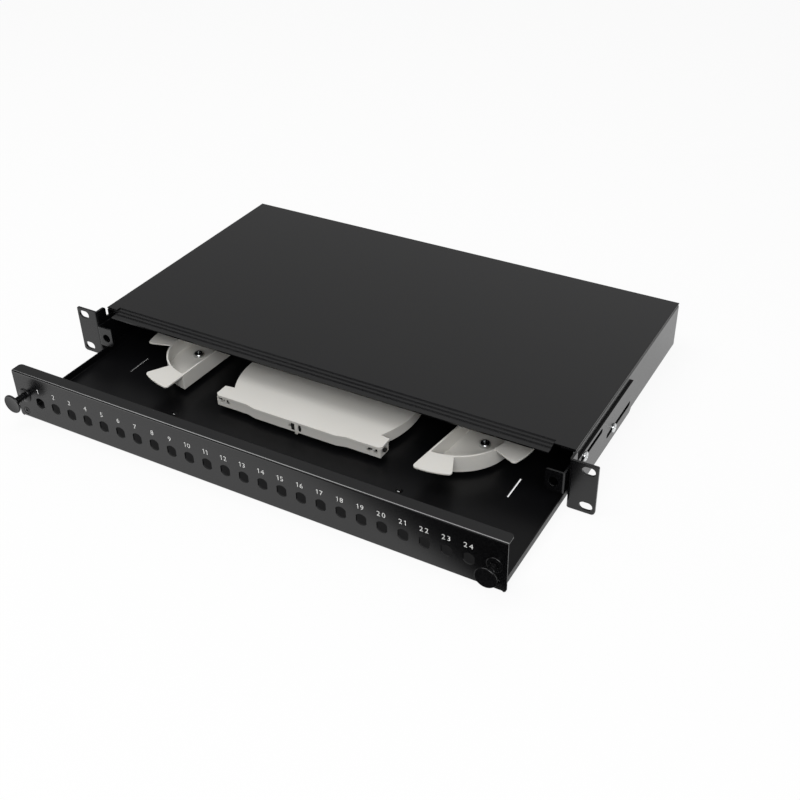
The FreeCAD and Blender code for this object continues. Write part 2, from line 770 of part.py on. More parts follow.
def make_catch_plate():
    body = new_body("catch_plate_right")
    tab_back = f"{CATCH_FRONT} + Sizes.catch_sheet"
    plan = new_sketch(body, "top", "Sizes.catch_low")
    outline(plan, [
        (CATCH_INNER, CATCH_FRONT),
        (CATCH_OUTER, CATCH_FRONT),
        (CATCH_OUTER, CATCH_LEG_END),
        (CATCH_INSIDE, CATCH_LEG_END),
        (CATCH_INSIDE, tab_back),
        (CATCH_INNER, tab_back),
    ])
    pad(body, plan, "Sizes.catch_high - Sizes.catch_low")
    fillet(body, "Sizes.catch_sheet", [(CATCH_OUTER, CATCH_FRONT, None)])
    fillet(body, "Sizes.catch_corner", [(CATCH_INNER, None, "Sizes.catch_low")])
    fillet(body, "Sizes.catch_sheet", [(CATCH_INNER, None, "Sizes.catch_high")])
    hole = new_sketch(body, "front", CATCH_FRONT)
    circle(hole, LATCH_X, "Sizes.latch_level", "Sizes.catch_bore")
    cut(body, hole, "Sizes.catch_sheet")
    bores = new_sketch(body, "side", CATCH_INSIDE)
    bore = "Sizes.bracket_screw + Sizes.screw_clearance"
    eight_sided(bores, FRONT_SCREW_Y, FRONT_SLOT_LEVEL, bore)
    cut(body, bores, "Sizes.catch_sheet")
    return body


# Front plate: a channel of one sheet, with a row of double-D adapter ports

SCREW_THROAT = "Sizes.plate_screw_head - 2 * Sizes.plate_sheet"


def double_d(sketch, u, v, bore, flat):
    """A round hole with two upright flats. Five short edges stand for each of its two arcs."""
    steps = (-1, -0.6, -0.2, 0.2, 0.6, 1)
    half = f"asin({flat} / {bore})"
    top = [
        (f"{u} - {bore} / 2 * sin({step} * {half})", f"{v} + {bore} / 2 * cos({step} * {half})")
        for step in steps
    ]
    low = [
        (f"{u} + {bore} / 2 * sin({step} * {half})", f"{v} - {bore} / 2 * cos({step} * {half})")
        for step in steps
    ]
    outline(sketch, top + low)


def make_front_plate():
    body = new_body("front_plate")
    half = PLATE_HALF
    flange_back = f"{PLATE_FRONT} + Sizes.plate_flange"
    flange_under = "Sizes.plate_height - Sizes.plate_sheet"
    section = new_sketch(body, "side", f"-({half})")
    outline(section, [
        (PLATE_FRONT, "0"),
        (PLATE_BACK, "0"),
        (PLATE_BACK, flange_under),
        (flange_back, flange_under),
        (flange_back, "Sizes.plate_height"),
        (PLATE_FRONT, "Sizes.plate_height"),
    ])
    pad(body, section, f"2 * {half}")
    fillet(body, "Sizes.plate_sheet * 1.2", [(None, PLATE_FRONT, "Sizes.plate_height")])
    fillet(body, "Sizes.plate_corner", [
        (f"-({half})", None, "0"),
        (half, None, "0"),
        (f"-({half})", flange_back, None),
        (half, flange_back, None),
    ])
    foot_half = f"({half} - Sizes.plate_foot_inset)"
    foot = new_sketch(body, "top")
    rectangle(foot, f"-{foot_half}", f"{PLATE_BACK} - Sizes.plate_sheet / 2",
              foot_half, f"{PLATE_FRONT} + Sizes.plate_foot")
    pad(body, foot, "Sizes.plate_sheet")
    start = f"{PLATE_FRONT} - Sizes.plate_sheet"
    depth = "3 * Sizes.plate_sheet"
    port = new_sketch(body, "front", start)
    first = f"-1 * ({half} - Sizes.port_margin + Sizes.port_shift)"
    double_d(port, first, "Sizes.port_level", "Sizes.port_bore", "Sizes.port_flat")
    repeat(body, cut(body, port, depth), "X_Axis", PORT_PITCH, "Sizes.port_count")
    screw_bores = new_sketch(body, "front", start)
    for sign in ("-1", "1"):
        circle(screw_bores, f"{sign} * {PLATE_SCREW_X}", "Sizes.plate_screw_level",
               f"{SCREW_THROAT} + Sizes.screw_clearance")
    cut(body, screw_bores, depth)
    chamfer_rims(body, "Sizes.plate_sheet - Sizes.seat_gap", PLATE_FRONT)
    grommet_bores = new_sketch(body, "front", start)
    for sign in ("-1", "1"):
        circle(grommet_bores, f"{sign} * {LATCH_X}", "Sizes.latch_level",
               "Sizes.grommet_barrel + Sizes.screw_clearance")
    cut(body, grommet_bores, depth)


def make_plate_screws():
    throat = f"({SCREW_THROAT}) / 2"
    profile = [
        ("0", "-Sizes.plate_sheet"),
        (throat, "-Sizes.plate_sheet"),
        ("Sizes.plate_screw_head / 2", "0"),
        ("0", "0"),
    ]
    screws = []
    for sign in ("-1", "1"):
        at = (f"{sign} * {PLATE_SCREW_X}", PLATE_FRONT, "Sizes.plate_screw_level")
        screw = turned("plate_screw", profile, at, (0, -1, 0), keep=False)
        add_shank(screw, "Sizes.plate_sheet", "Sizes.plate_screw_length", "Sizes.plate_screw")
        screws.append(screw)
    group("plate_screws", screws)


# Tray: floor, low side walls and rear wall of one sheet. The rear wall's ends hook out
# behind the catch angles' legs, where they stop the drawer. Two tabs stand up at the front
# for the plate's screws, and two loops are pressed up from the floor for cable ties.


def make_drawer_tray():
    body = new_body("drawer_tray")
    front = f"{PLATE_BACK} + Sizes.seat_gap"
    inner = f"{TRAY_SIDE} - Sizes.tray_sheet"
    section = new_sketch(body, "front", front)
    outline(section, [
        (f"-({TRAY_SIDE})", TRAY_UNDERSIDE),
        (TRAY_SIDE, TRAY_UNDERSIDE),
        (TRAY_SIDE, "Sizes.tray_wall_top"),
        (inner, "Sizes.tray_wall_top"),
        (inner, TRAY_FLOOR),
        (f"-({inner})", TRAY_FLOOR),
        (f"-({inner})", "Sizes.tray_wall_top"),
        (f"-({TRAY_SIDE})", "Sizes.tray_wall_top"),
    ])
    pad(body, section, f"{TRAY_REAR} - ({front})")
    fillet(body, "Sizes.bend_radius", [
        (f"-({TRAY_SIDE})", None, TRAY_UNDERSIDE),
        (TRAY_SIDE, None, TRAY_UNDERSIDE),
    ])
    fillet(body, "Sizes.bend_radius - Sizes.tray_sheet", [
        (f"-({inner})", None, TRAY_FLOOR),
        (inner, None, TRAY_FLOOR),
    ])
    root = f"{TRAY_FLOOR} - Sizes.tray_sheet / 2"
    tabs = new_sketch(body, "front", front)
    tab_outer = f"({PLATE_SCREW_X} + Sizes.tray_tab_margin)"
    tab_inner = f"({tab_outer} - Sizes.tray_tab_width)"
    rectangle(tabs, tab_inner, root, tab_outer, "Sizes.tray_tab_top")
    rectangle(tabs, f"-{tab_outer}", root, f"-{tab_inner}", "Sizes.tray_tab_top")
    pad(body, tabs, "Sizes.tray_sheet")
    hook_outer = f"({inner} - Sizes.hook_side_gap)"
    hook_inner = f"({hook_outer} - Sizes.hook_width)"
    hook_low = f"({TRAY_FLOOR} + Sizes.hook_rise)"
    hook_top = f"({hook_low} + Sizes.hook_arm)"
    reach = f"({SIDE} - Sizes.case_sheet - Sizes.hook_case_gap)"
    rear = new_sketch(body, "front", f"{TRAY_REAR} - Sizes.tray_sheet")
    outline(rear, [
        (f"-({hook_outer})", root),
        (hook_outer, root),
        (hook_outer, hook_low),
        (reach, hook_low),
        (reach, hook_top),
        (hook_inner, hook_top),
        (hook_inner, "Sizes.rear_wall_top"),
        (f"-({hook_inner})", "Sizes.rear_wall_top"),
        (f"-({hook_inner})", hook_top),
        (f"-{reach}", hook_top),
        (f"-{reach}", hook_low),
        (f"-({hook_outer})", hook_low),
    ])
    pad(body, rear, "Sizes.tray_sheet")
    fillet(body, "Sizes.bend_radius", [
        (hook_inner, None, hook_top),
        (f"-({hook_inner})", None, hook_top),
        (hook_inner, None, "Sizes.rear_wall_top"),
        (f"-({hook_inner})", None, "Sizes.rear_wall_top"),
    ])
    length = "Sizes.tie_loop_length / 2"
    width = "Sizes.tie_loop_width"
    holes = new_sketch(body, "top", TRAY_UNDERSIDE)
    loop_y = f"({PLATE_BACK} + Sizes.tie_loop_setback)"
    slot_y = f"({PLATE_BACK} + Sizes.floor_slot_start)"
    for sign in ("-1", "1"):
        middle = f"{sign} * ({SIDE} - Sizes.floor_slot_inset)"
        rectangle(holes, f"{middle} - Sizes.floor_slot_width / 2", slot_y,
                  f"{middle} + Sizes.floor_slot_width / 2",
                  f"{slot_y} + Sizes.floor_slot_length")
        middle = f"{sign} * ({SIDE} - Sizes.tie_loop_inset)"
        rectangle(holes, f"{middle} - {length}", f"{loop_y} - {width} / 2",
                  f"{middle} + {length}", f"{loop_y} + {width} / 2")
    cut(body, holes, "Sizes.tray_sheet")
    loops = new_sketch(body, "front", f"{loop_y} - {width} / 2")
    top = f"{TRAY_FLOOR} + Sizes.tie_loop_rise"
    slope = "Sizes.tie_loop_rise"
    for sign in ("-1", "1"):
        left = f"{sign} * ({SIDE} - Sizes.tie_loop_inset) - {length}"
        right = f"{sign} * ({SIDE} - Sizes.tie_loop_inset) + {length}"
        outline(loops, [
            (left, TRAY_UNDERSIDE),
            (f"{left} + Sizes.tray_sheet", TRAY_UNDERSIDE),
            (f"{left} + {slope} + Sizes.tray_sheet / 2", f"{top} - Sizes.tray_sheet"),
            (f"{right} - {slope} - Sizes.tray_sheet / 2", f"{top} - Sizes.tray_sheet"),
            (f"{right} - Sizes.tray_sheet", TRAY_UNDERSIDE),
            (right, TRAY_UNDERSIDE),
            (right, TRAY_FLOOR),
            (f"{right} - {slope}", top),
            (f"{left} + {slope}", top),
            (left, TRAY_FLOOR),
        ])
    pad(body, loops, width)
    bores = new_sketch(body, "front", f"{front} - Sizes.tray_sheet")
    for sign in ("-1", "1"):
        eight_sided(bores, f"{sign} * {PLATE_SCREW_X}", "Sizes.plate_screw_level",
                    "Sizes.plate_screw + Sizes.screw_clearance")
    cut(body, bores, "3 * Sizes.tray_sheet")


# Latches: a grommet in the plate, and a push pin with a round knob through it


def make_latch_grommet():
    bore = "Sizes.latch_bore / 2"
    barrel = "Sizes.grommet_barrel / 2"
    rim = "Sizes.grommet_width / 2"
    profile = [
        (bore, "Sizes.grommet_rim"),
        (rim, "Sizes.grommet_rim"),
        (rim, "0"),
        (barrel, "0"),
        (barrel, "-Sizes.plate_sheet - Sizes.grommet_rim"),
        (bore, "-Sizes.plate_sheet - Sizes.grommet_rim"),
    ]
    at = (LATCH_X, PLATE_FRONT, "Sizes.latch_level")
    mirrored("latch_grommet_left", turned("latch_grommet_right", profile, at, (0, -1, 0)))


def make_latch_plunger():
    knob = "Sizes.latch_knob / 2"
    pin = "Sizes.latch_pin / 2"
    face = "Sizes.latch_out + Sizes.latch_knob_thick"
    profile = [
        ("0", "-Sizes.latch_reach"),
        (pin, "-Sizes.latch_reach"),
        (pin, "Sizes.latch_out"),
        (knob, "Sizes.latch_out"),
        (knob, face),
        ("0", face),
    ]
    at = (LATCH_X, PLATE_FRONT, "Sizes.latch_level")
    mirrored("latch_plunger_left", turned("latch_plunger_right", profile, at, (0, -1, 0)))


# Spools: a D-shaped cup with three flat wings, on a post, each turned to its own angle


def make_spool_post(label, side):
    post = new_body(label)
    section = new_sketch(post, "top", TRAY_FLOOR)
    hexagon(section, SPOOL_X[side], SPOOL_Y, "Sizes.spool_post")
    eight_sided(section, SPOOL_X[side], SPOOL_Y, "Sizes.spool_screw + Sizes.screw_clearance")
    pad(post, section, "Sizes.spool_lift - Sizes.spool_play")


def make_spool_screw(label, side):
    seat = f"{SPOOL_LEVEL} + Sizes.spool_floor + Sizes.spool_play"
    sizes = ("Sizes.spool_screw", "Sizes.spool_screw_head", "Sizes.spool_screw_rise")
    at = (SPOOL_X[side], SPOOL_Y, seat)
    pan_head_screw(label, at, (0, 0, 1), sizes, f"{seat} - {TRAY_FLOOR}")


def spool_outline(sketch, side, shrink):
    """The cup's outline about its pivot, with its arc on the outer side, moved inwards."""
    chord = f"(Sizes.spool_chord - {shrink})"
    radius = f"(Sizes.spool_radius - {shrink})"
    rise = f"sqrt({radius} ^ 2 - (Sizes.spool_centre - {chord}) ^ 2)"
    far = f"({radius} - Sizes.spool_centre)"
    outline(sketch, [
        (f"{-side} * {chord}", f"-{rise}", radius, side),
        (f"{side} * {far}", "0", radius, side),
        (f"{-side} * {chord}", rise),
    ])


def wing_outline(sketch, side, start, end):
    """One wing between two edges. Each edge is its inner and outer point, on the right side."""
    (start_in, start_out), (end_in, end_out) = start, end
    inner = "Sizes.spool_radius - Sizes.spool_wall / 2"
    corners = [
        (f"{side} * ({start_in[0]})", start_in[1]),
        (f"{side} * ({start_out[0]})", start_out[1], WING_RADIUS, side),
        (f"{side} * ({end_out[0]})", end_out[1]),
        (f"{side} * ({end_in[0]})", end_in[1], inner, -side),
    ]
    outline(sketch, corners)


def make_spool(label, side, turn):
    body = new_body(label)
    place(body, SPOOL_X[side], SPOOL_Y)
    body.Placement.Rotation = FreeCAD.Rotation(FreeCAD.Vector(0, 0, 1), number(turn))
    body.setExpression("Placement.Rotation.Angle", turn)
    cup = new_sketch(body, "top", SPOOL_LEVEL)
    spool_outline(cup, side, "0")
    pad(body, cup, "Sizes.spool_height")
    inner = "Sizes.spool_radius - Sizes.spool_wall / 2"
    offset = "(Sizes.spool_centre - Sizes.spool_chord)"

    def radial(angle):
        return [
            (f"({r}) * cos({angle}) - Sizes.spool_centre", f"({r}) * sin({angle})")
            for r in (inner, WING_RADIUS)
        ]

    def along_chord(sign):
        return [
            ("-Sizes.spool_chord", f"{sign} * sqrt(({r}) ^ 2 - {offset} ^ 2)")
            for r in (inner, WING_RADIUS)
        ]

    level = f"{SPOOL_LEVEL} + Sizes.spool_height - Sizes.wing_sheet"
    wings = [
        (along_chord("-1"), radial("-Sizes.wing_inner")),
        (radial("-Sizes.wing_side"), radial("Sizes.wing_side")),
        (radial("Sizes.wing_inner"), along_chord("1")),
    ]
    flat = new_sketch(body, "top", level)
    for start, end in wings:
        wing_outline(flat, side, start, end)
    pad(body, flat, "Sizes.wing_sheet")
    corners = []
    for start, end in wings:
        for x, y in (start[1], end[1]):
            corners.append((f"{side} * ({x})", y, None))
    fillet(body, "Sizes.wing_corner", corners)
    hollow = new_sketch(body, "top", f"{SPOOL_LEVEL} + Sizes.spool_floor")
    spool_outline(hollow, side, "Sizes.spool_wall")
    cut(body, hollow, "Sizes.spool_height")
    bore = new_sketch(body, "top")
    circle(bore, "0", "0", "Sizes.spool_bore")
    cut(body, bore, f"{SPOOL_LEVEL} + Sizes.spool_height")


# Splice cassette: a shallow round-backed box on posts, with a flat lid


def cassette_outline(sketch, shrink):
    """The cassette's outline, moved inwards."""
    radius = f"(Sizes.cassette_radius - {shrink})"
    half = f"({CASSETTE_HALF} - {shrink})"
    front = f"({CASSETTE_Y} - Sizes.cassette_front + {shrink})"
    bulge = f"({front} - Sizes.cassette_bulge)"
    back = f"({CASSETTE_Y} - Sizes.cassette_tab_back - {shrink})"
    waist_y = f"({CASSETTE_Y} - Sizes.cassette_waist)"
    waist_x = f"sqrt({radius} ^ 2 - Sizes.cassette_waist ^ 2)"
    slope = "(Sizes.bulge_half + Sizes.bulge_slope)"
    outline(sketch, [
        (f"-{half}", front),
        (f"-{slope}", front),
        ("-Sizes.bulge_half", bulge),
        ("Sizes.bulge_half", bulge),
        (slope, front),
        (half, front),
        (half, back),
        (waist_x, waist_y, radius, 1),
        ("0", f"{CASSETTE_Y} + {radius}", radius, 1),
        (f"-{waist_x}", waist_y),
        (f"-{half}", back),
    ])


def make_cassette_posts():
    body = new_body("cassette_posts")
    section = new_sketch(body, "top", TRAY_FLOOR)
    for x in ("-1", "1"):
        for y in ("-1", "1"):
            hexagon(section, f"{x} * Sizes.cassette_post_x",
                    f"{CASSETTE_Y} + {y} * Sizes.cassette_post_y", "Sizes.cassette_post")
    pad(body, section, "Sizes.cassette_lift")


def make_cassette_base():
    body = new_body("cassette_base")
    shell = new_sketch(body, "top", CASSETTE_LEVEL)
    cassette_outline(shell, "Sizes.cassette_inset")
    pad(body, shell, "Sizes.cassette_base_height")
    hollow = new_sketch(body, "top", f"{CASSETTE_LEVEL} + Sizes.cassette_floor")
    cassette_outline(hollow, "(Sizes.cassette_inset + Sizes.cassette_wall)")
    cut(body, hollow, "Sizes.cassette_base_height")
    front = f"{CASSETTE_Y} - Sizes.cassette_front - Sizes.cassette_bulge"
    windows = new_sketch(body, "front", front)
    low = f"({CASSETTE_LEVEL} + Sizes.window_sill)"
    high = f"({low} + Sizes.window_rise)"
    outer = f"({CASSETTE_HALF} - Sizes.window_edge)"
    for sign in ("-1", "1"):
        for at in (outer, f"({outer} - Sizes.window_pitch)", "Sizes.window_centre"):
            rectangle(windows, f"{sign} * {at} - Sizes.window_width / 2", low,
                      f"{sign} * {at} + Sizes.window_width / 2", high)
    cut(body, windows, "2 * (Sizes.cassette_inset + Sizes.cassette_wall)")
    notches = new_sketch(body, "side", f"-{CASSETTE_HALF}")
    start = f"({CASSETTE_Y} - Sizes.cassette_front + Sizes.end_notch_start)"
    rectangle(notches, start, f"{CASSETTE_LEVEL} + Sizes.cassette_floor",
              f"{start} + Sizes.end_notch_width", f"{CASSETTE_TOP} + Sizes.cassette_cover")
    cut(body, notches, f"2 * {CASSETTE_HALF}")


def make_splice_holder():
    body = new_body("splice_holder")
    half = "Sizes.splice_pitch * Sizes.splice_count / 2"
    long_half = "Sizes.splice_length / 2"
    block = new_sketch(body, "top", f"{CASSETTE_LEVEL} + Sizes.cassette_floor")
    rectangle(block, f"-{half}", f"{CASSETTE_Y} - {long_half}",
              half, f"{CASSETTE_Y} + {long_half}")
    pad(body, block, "Sizes.splice_height")
    groove = new_sketch(body, "front", f"{CASSETTE_Y} - {long_half}")
    middle = f"-{half} + Sizes.splice_pitch / 2"
    top = f"{CASSETTE_LEVEL} + Sizes.cassette_floor + Sizes.splice_height"
    rectangle(groove, f"{middle} - Sizes.splice_groove / 2", f"{top} - Sizes.splice_depth",
              f"{middle} + Sizes.splice_groove / 2", f"{top} + Sizes.splice_depth")
    first = cut(body, groove, "Sizes.splice_length")
    repeat(body, first, "X_Axis", "Sizes.splice_pitch", "Sizes.splice_count")


def make_cassette_cover():
    body = new_body("cassette_cover")
    plate = new_sketch(body, "top", CASSETTE_TOP)
    cassette_outline(plate, "0")
    pad(body, plate, "Sizes.cassette_cover")
    front = f"({CASSETTE_Y} - Sizes.cassette_front)"
    chamfer(body, "1.2 * Sizes.cassette_cover", [
        (f"-{CASSETTE_HALF}", front, None),
        (CASSETTE_HALF, front, None),
    ])
    skin = "Sizes.cassette_inset + Sizes.cassette_wall + Sizes.seat_gap"
    tongue_front = f"{front} - Sizes.cassette_bulge + {skin}"
    tongue = new_sketch(body, "top", f"{CASSETTE_TOP} + Sizes.cassette_cover / 2")
    rectangle(tongue, "-Sizes.tongue_width / 2", tongue_front,
              "Sizes.tongue_width / 2", f"{tongue_front} + Sizes.cassette_wall")
    feature = pad(body, tongue, "Sizes.cassette_base_height / 2")
    feature.Reversed = True
    doc.recompute()


make_case_body()
make_top_cover()
mirrored("rack_bracket_left", make_rack_bracket())
make_bracket_fasteners()
mirrored("catch_plate_left", make_catch_plate())
make_drawer_tray()
make_front_plate()
make_plate_screws()
make_latch_grommet()
make_latch_plunger()
for hand, side in (("right", 1), ("left", -1)):
    make_spool_post(f"spool_post_{hand}", side)
    make_spool(f"fibre_spool_{hand}", side, f"Sizes.spool_turn_{hand}")
    make_spool_screw(f"spool_screw_{hand}", side)
make_cassette_posts()
make_cassette_base()
make_splice_holder()
make_cassette_cover()

# Every object has to be sound before anything is written.

doc.recompute()
faults = [item.Label for item in doc.Objects if {"Invalid", "Error"} & set(item.State)]
faults += [piece.Label for piece in nodes if piece.Shape.isNull() or not piece.Shape.isValid()]
if faults:
    raise RuntimeError("not sound: " + ", ".join(faults))

os.makedirs("parts", exist_ok=True)
for piece in nodes:
    piece.Shape.exportStep(f"parts/{piece.Label}.step")
    box = piece.Shape.BoundBox
    print(f"{piece.Label}: {box.XLength:.2f} x {box.YLength:.2f} x {box.ZLength:.2f} mm")
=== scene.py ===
# %% [markdown]
# # A sliding fibre optic patch panel
#
# This lesson dresses a flat black rack panel whose drawer is pulled part way out. The solids
# come from the CAD model and stay where they are. What Blender adds is what the eye looks
# for: powder coat on steel, moulded plastic, zinc screws with cross recesses, and numbers.
# Everything is in metres, in the CAD model's own frame: X to the right, Y to the back, Z up.
# Most sizes of new pieces are written in millimetres, and the helpers turn them to metres.

# %% Load the frame
import math

import bmesh
import bpy
from mathutils import Matrix, Vector
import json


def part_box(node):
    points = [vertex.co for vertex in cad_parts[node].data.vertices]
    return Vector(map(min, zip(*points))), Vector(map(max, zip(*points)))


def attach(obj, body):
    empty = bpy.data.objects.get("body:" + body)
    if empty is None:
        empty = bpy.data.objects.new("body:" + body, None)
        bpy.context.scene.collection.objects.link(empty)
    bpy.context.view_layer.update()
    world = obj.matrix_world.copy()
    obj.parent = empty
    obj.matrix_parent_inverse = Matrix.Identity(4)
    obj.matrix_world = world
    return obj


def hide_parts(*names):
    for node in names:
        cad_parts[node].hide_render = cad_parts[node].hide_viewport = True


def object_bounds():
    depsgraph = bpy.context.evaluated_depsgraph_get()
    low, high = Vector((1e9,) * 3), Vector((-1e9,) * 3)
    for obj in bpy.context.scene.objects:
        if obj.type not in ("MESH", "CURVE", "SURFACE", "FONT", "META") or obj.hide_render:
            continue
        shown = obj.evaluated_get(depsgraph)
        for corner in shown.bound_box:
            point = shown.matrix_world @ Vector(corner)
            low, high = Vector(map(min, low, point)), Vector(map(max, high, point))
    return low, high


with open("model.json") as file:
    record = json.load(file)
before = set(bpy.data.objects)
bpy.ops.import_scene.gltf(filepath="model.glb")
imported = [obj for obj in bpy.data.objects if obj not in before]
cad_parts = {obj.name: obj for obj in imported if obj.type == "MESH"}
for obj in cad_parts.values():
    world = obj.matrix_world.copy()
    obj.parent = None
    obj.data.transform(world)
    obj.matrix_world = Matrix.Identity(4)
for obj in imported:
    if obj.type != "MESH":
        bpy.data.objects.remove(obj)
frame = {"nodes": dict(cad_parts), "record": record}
CAD_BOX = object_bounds()
MM = 0.001
print("CAD box", CAD_BOX)

# %% [markdown]
# ## The camera
#
# The photograph looks down on the panel from its right front corner. Fitting the rack
# standard's known distances to the picture gave the camera's place, its three turns and the
# lens. The drawer's edges converge as strongly as in the photograph only from this distance,
# so the lens is as important as the angle.

# %% Camera
CAMERA_PLACE = Vector((0.42976, -0.60601, 0.51604))
CAMERA_YAW = math.radians(29.93)
CAMERA_PITCH = math.radians(-34.93)
CAMERA_ROLL = math.radians(-1.19)
LENS, SENSOR_WIDTH, SHIFT_ACROSS = 50.97, 36.0, 0.0016
NEAREST_SEEN = 0.01

forward = Vector((
    -math.sin(CAMERA_YAW) * math.cos(CAMERA_PITCH),
    math.cos(CAMERA_YAW) * math.cos(CAMERA_PITCH),
    math.sin(CAMERA_PITCH),
))
level = Vector((math.cos(CAMERA_YAW), math.sin(CAMERA_YAW), 0.0))
above = level.cross(forward)
image_right = level * math.cos(CAMERA_ROLL) + above * math.sin(CAMERA_ROLL)
image_up = above * math.cos(CAMERA_ROLL) - level * math.sin(CAMERA_ROLL)

camera_data = bpy.data.cameras.new("photo_camera")
camera_data.lens = LENS
camera_data.sensor_width = SENSOR_WIDTH
camera_data.shift_x = SHIFT_ACROSS
camera_data.clip_start = NEAREST_SEEN
camera = bpy.data.objects.new("photo_camera", camera_data)
turned = Matrix((image_right, image_up, -forward)).transposed()
camera.matrix_world = Matrix.Translation(CAMERA_PLACE) @ turned.to_4x4()
bpy.context.scene.collection.objects.link(camera)
bpy.context.scene.camera = camera
print("camera looks along", [round(v, 3) for v in forward])

# %% [markdown]
# ## Helpers for materials
#
# Colours are written as the sRGB hex codes that a colour picker shows, and one function
# turns them to the linear values that the shader works in. A second function adds a node
# with its settings and its links, so that each material below reads as a list of layers.
# A third starts an empty material. A Mix node has sockets for each kind of value, so the
# ones for colours are named by their numbers.


# %% Material helpers
def linear(code):
    """An sRGB hex colour as linear red, green, blue and alpha."""
    channels = [int(code[i:i + 2], 16) / 255 for i in (1, 3, 5)]
    toe, slope, offset, power = 0.04045, 12.92, 0.055, 2.4
    spread = [
        c / slope if c <= toe else ((c + offset) / (1 + offset)) ** power for c in channels
    ]
    return (*spread, 1.0)


def add(tree, kind, settings=None, inputs=None, links=None):
    """Add a node with its properties, the values of its inputs and the links to them."""
    node = tree.nodes.new(kind)
    for name, value in (settings or {}).items():
        setattr(node, name, value)
    for name, value in (inputs or {}).items():
        node.inputs[name].default_value = value
    for name, source in (links or {}).items():
        tree.links.new(source, node.inputs[name])
    return node


def new_material(name):
    """An empty node material with its output, and the tree to build it in."""
    material = bpy.data.materials.new(name)
    material.use_nodes = True
    tree = material.node_tree
    tree.nodes.clear()
    output = tree.nodes.new("ShaderNodeOutputMaterial")
    return material, tree, output


FACTOR, COLOUR_A, COLOUR_B, MIXED = 0, 6, 7, 2
print("mid grey #808080 in linear values", [round(v, 3) for v in linear("#808080")])

# %% [markdown]
# ## Fine-textured black powder coat
#
# The case, the ears and the drawer are sheet steel with a baked polyester powder coat. The
# powder melts into a skin with a fine orange-peel grain, about half a millimetre from crest
# to crest, that spreads each reflection into a soft sheen, so the black reads as charcoal
# where it faces the light. The real grain is finer than one pixel here, so it is drawn
# twice as coarse, and low. A slow noise adds the faint clouds that dust and handling leave.
# The tray and the plate's back get a duller copy of the coat, which throws back less light:
# it paints in the shade behind the plate, so the tray reads darker than the plate's flange.
# The plate's top bend gets a glossier copy with a higher index, a painted highlight that
# throws the lamps back as one thin bright line along the drawer. The refractive index of
# polyester is about 1.5. Those of the other two coats are matched to how they look.


# %% Powder coat
def powder_coat(name, sheen_range, index):
    """A black coat with this refractive index, whose roughness wanders within a range."""
    material, tree, output = new_material(name)
    place = add(tree, "ShaderNodeTexCoord").outputs["Object"]
    grain_size = 1.0 * MM
    grain = add(tree, "ShaderNodeTexNoise", inputs={
        "Scale": 1 / grain_size, "Detail": 2.0, "Roughness": 0.6,
    }, links={"Vector": place})
    cloud_size = 90 * MM
    clouds = add(tree, "ShaderNodeTexNoise", inputs={
        "Scale": 1 / cloud_size, "Detail": 3.0, "Roughness": 0.55,
    }, links={"Vector": place})
    colour = add(tree, "ShaderNodeMix", {"data_type": "RGBA"}, {
        COLOUR_A: linear("#08080a"), COLOUR_B: linear("#0c0c0d"),
    }, {FACTOR: clouds.outputs["Fac"]})
    sheen = add(tree, "ShaderNodeMapRange", inputs={
        "From Min": 0.3, "From Max": 0.7, "To Min": sheen_range[0], "To Max": sheen_range[1],
    }, links={"Value": clouds.outputs["Fac"]})
    relief = add(tree, "ShaderNodeBump", inputs={
        "Strength": 0.10, "Distance": 0.04 * MM,
    }, links={"Height": grain.outputs["Fac"]})
    shader = add(tree, "ShaderNodeBsdfPrincipled", inputs={"IOR": index}, links={
        "Base Color": colour.outputs[MIXED],
        "Roughness": sheen.outputs["Result"],
        "Normal": relief.outputs["Normal"],
    })
    tree.links.new(shader.outputs["BSDF"], output.inputs["Surface"])
    return material


COAT = powder_coat("black_polyester_powder_coat", (0.22, 0.27), 1.5)
# Painted highlight: a glossier, more reflective copy of the coat, for the plate's top bend.
HIGHLIGHT_COAT = powder_coat("painted_highlight_powder_coat", (0.16, 0.20), 2.2)
# Painted shade: a duller, less reflective copy of the coat, for the tray and the plate's back
# and foot.
SHADED_COAT = powder_coat("painted_shade_powder_coat", (0.30, 0.36), 1.3)
print("coats", COAT.name, HIGHLIGHT_COAT.name, SHADED_COAT.name)

# %% [markdown]
# ## Light grey ABS
#
# The spools and the splice cassette are injection moulded in warm light grey ABS. A fine
# spark-eroded mould gives a satin skin. Its real grain is much finer than a pixel, so it is
# drawn coarser, at 0.8 mm, and low. ABS lets a little light in under its skin, which
# softens the shadow edges, so a touch of subsurface scattering goes with it.


# %% Grey ABS
def grey_abs():
    """Satin moulded plastic, with faint clouds where the melt flowed."""
    material, tree, output = new_material("light_grey_moulded_abs")
    place = add(tree, "ShaderNodeTexCoord").outputs["Object"]
    spark_size = 0.8 * MM
    spark = add(tree, "ShaderNodeTexNoise", inputs={
        "Scale": 1 / spark_size, "Detail": 2.0,
    }, links={"Vector": place})
    flow_size = 60 * MM
    flow = add(tree, "ShaderNodeTexNoise", inputs={
        "Scale": 1 / flow_size, "Detail": 2.0,
    }, links={"Vector": place})
    colour = add(tree, "ShaderNodeMix", {"data_type": "RGBA"}, {
        COLOUR_A: linear("#d9d7d1"), COLOUR_B: linear("#e0ded9"),
    }, {FACTOR: flow.outputs["Fac"]})
    relief = add(tree, "ShaderNodeBump", inputs={
        "Strength": 0.08, "Distance": 0.03 * MM,
    }, links={"Height": spark.outputs["Fac"]})
    shader = add(tree, "ShaderNodeBsdfPrincipled", inputs={
        "IOR": 1.53, "Roughness": 0.45, "Subsurface Weight": 0.08,
        "Subsurface Radius": (1.2, 1.0, 0.8), "Subsurface Scale": 1.0 * MM,
    }, links={"Base Color": colour.outputs[MIXED], "Normal": relief.outputs["Normal"]})
    tree.links.new(shader.outputs["BSDF"], output.inputs["Surface"])
    return material


ABS = grey_abs()
print("plastic", ABS.name)

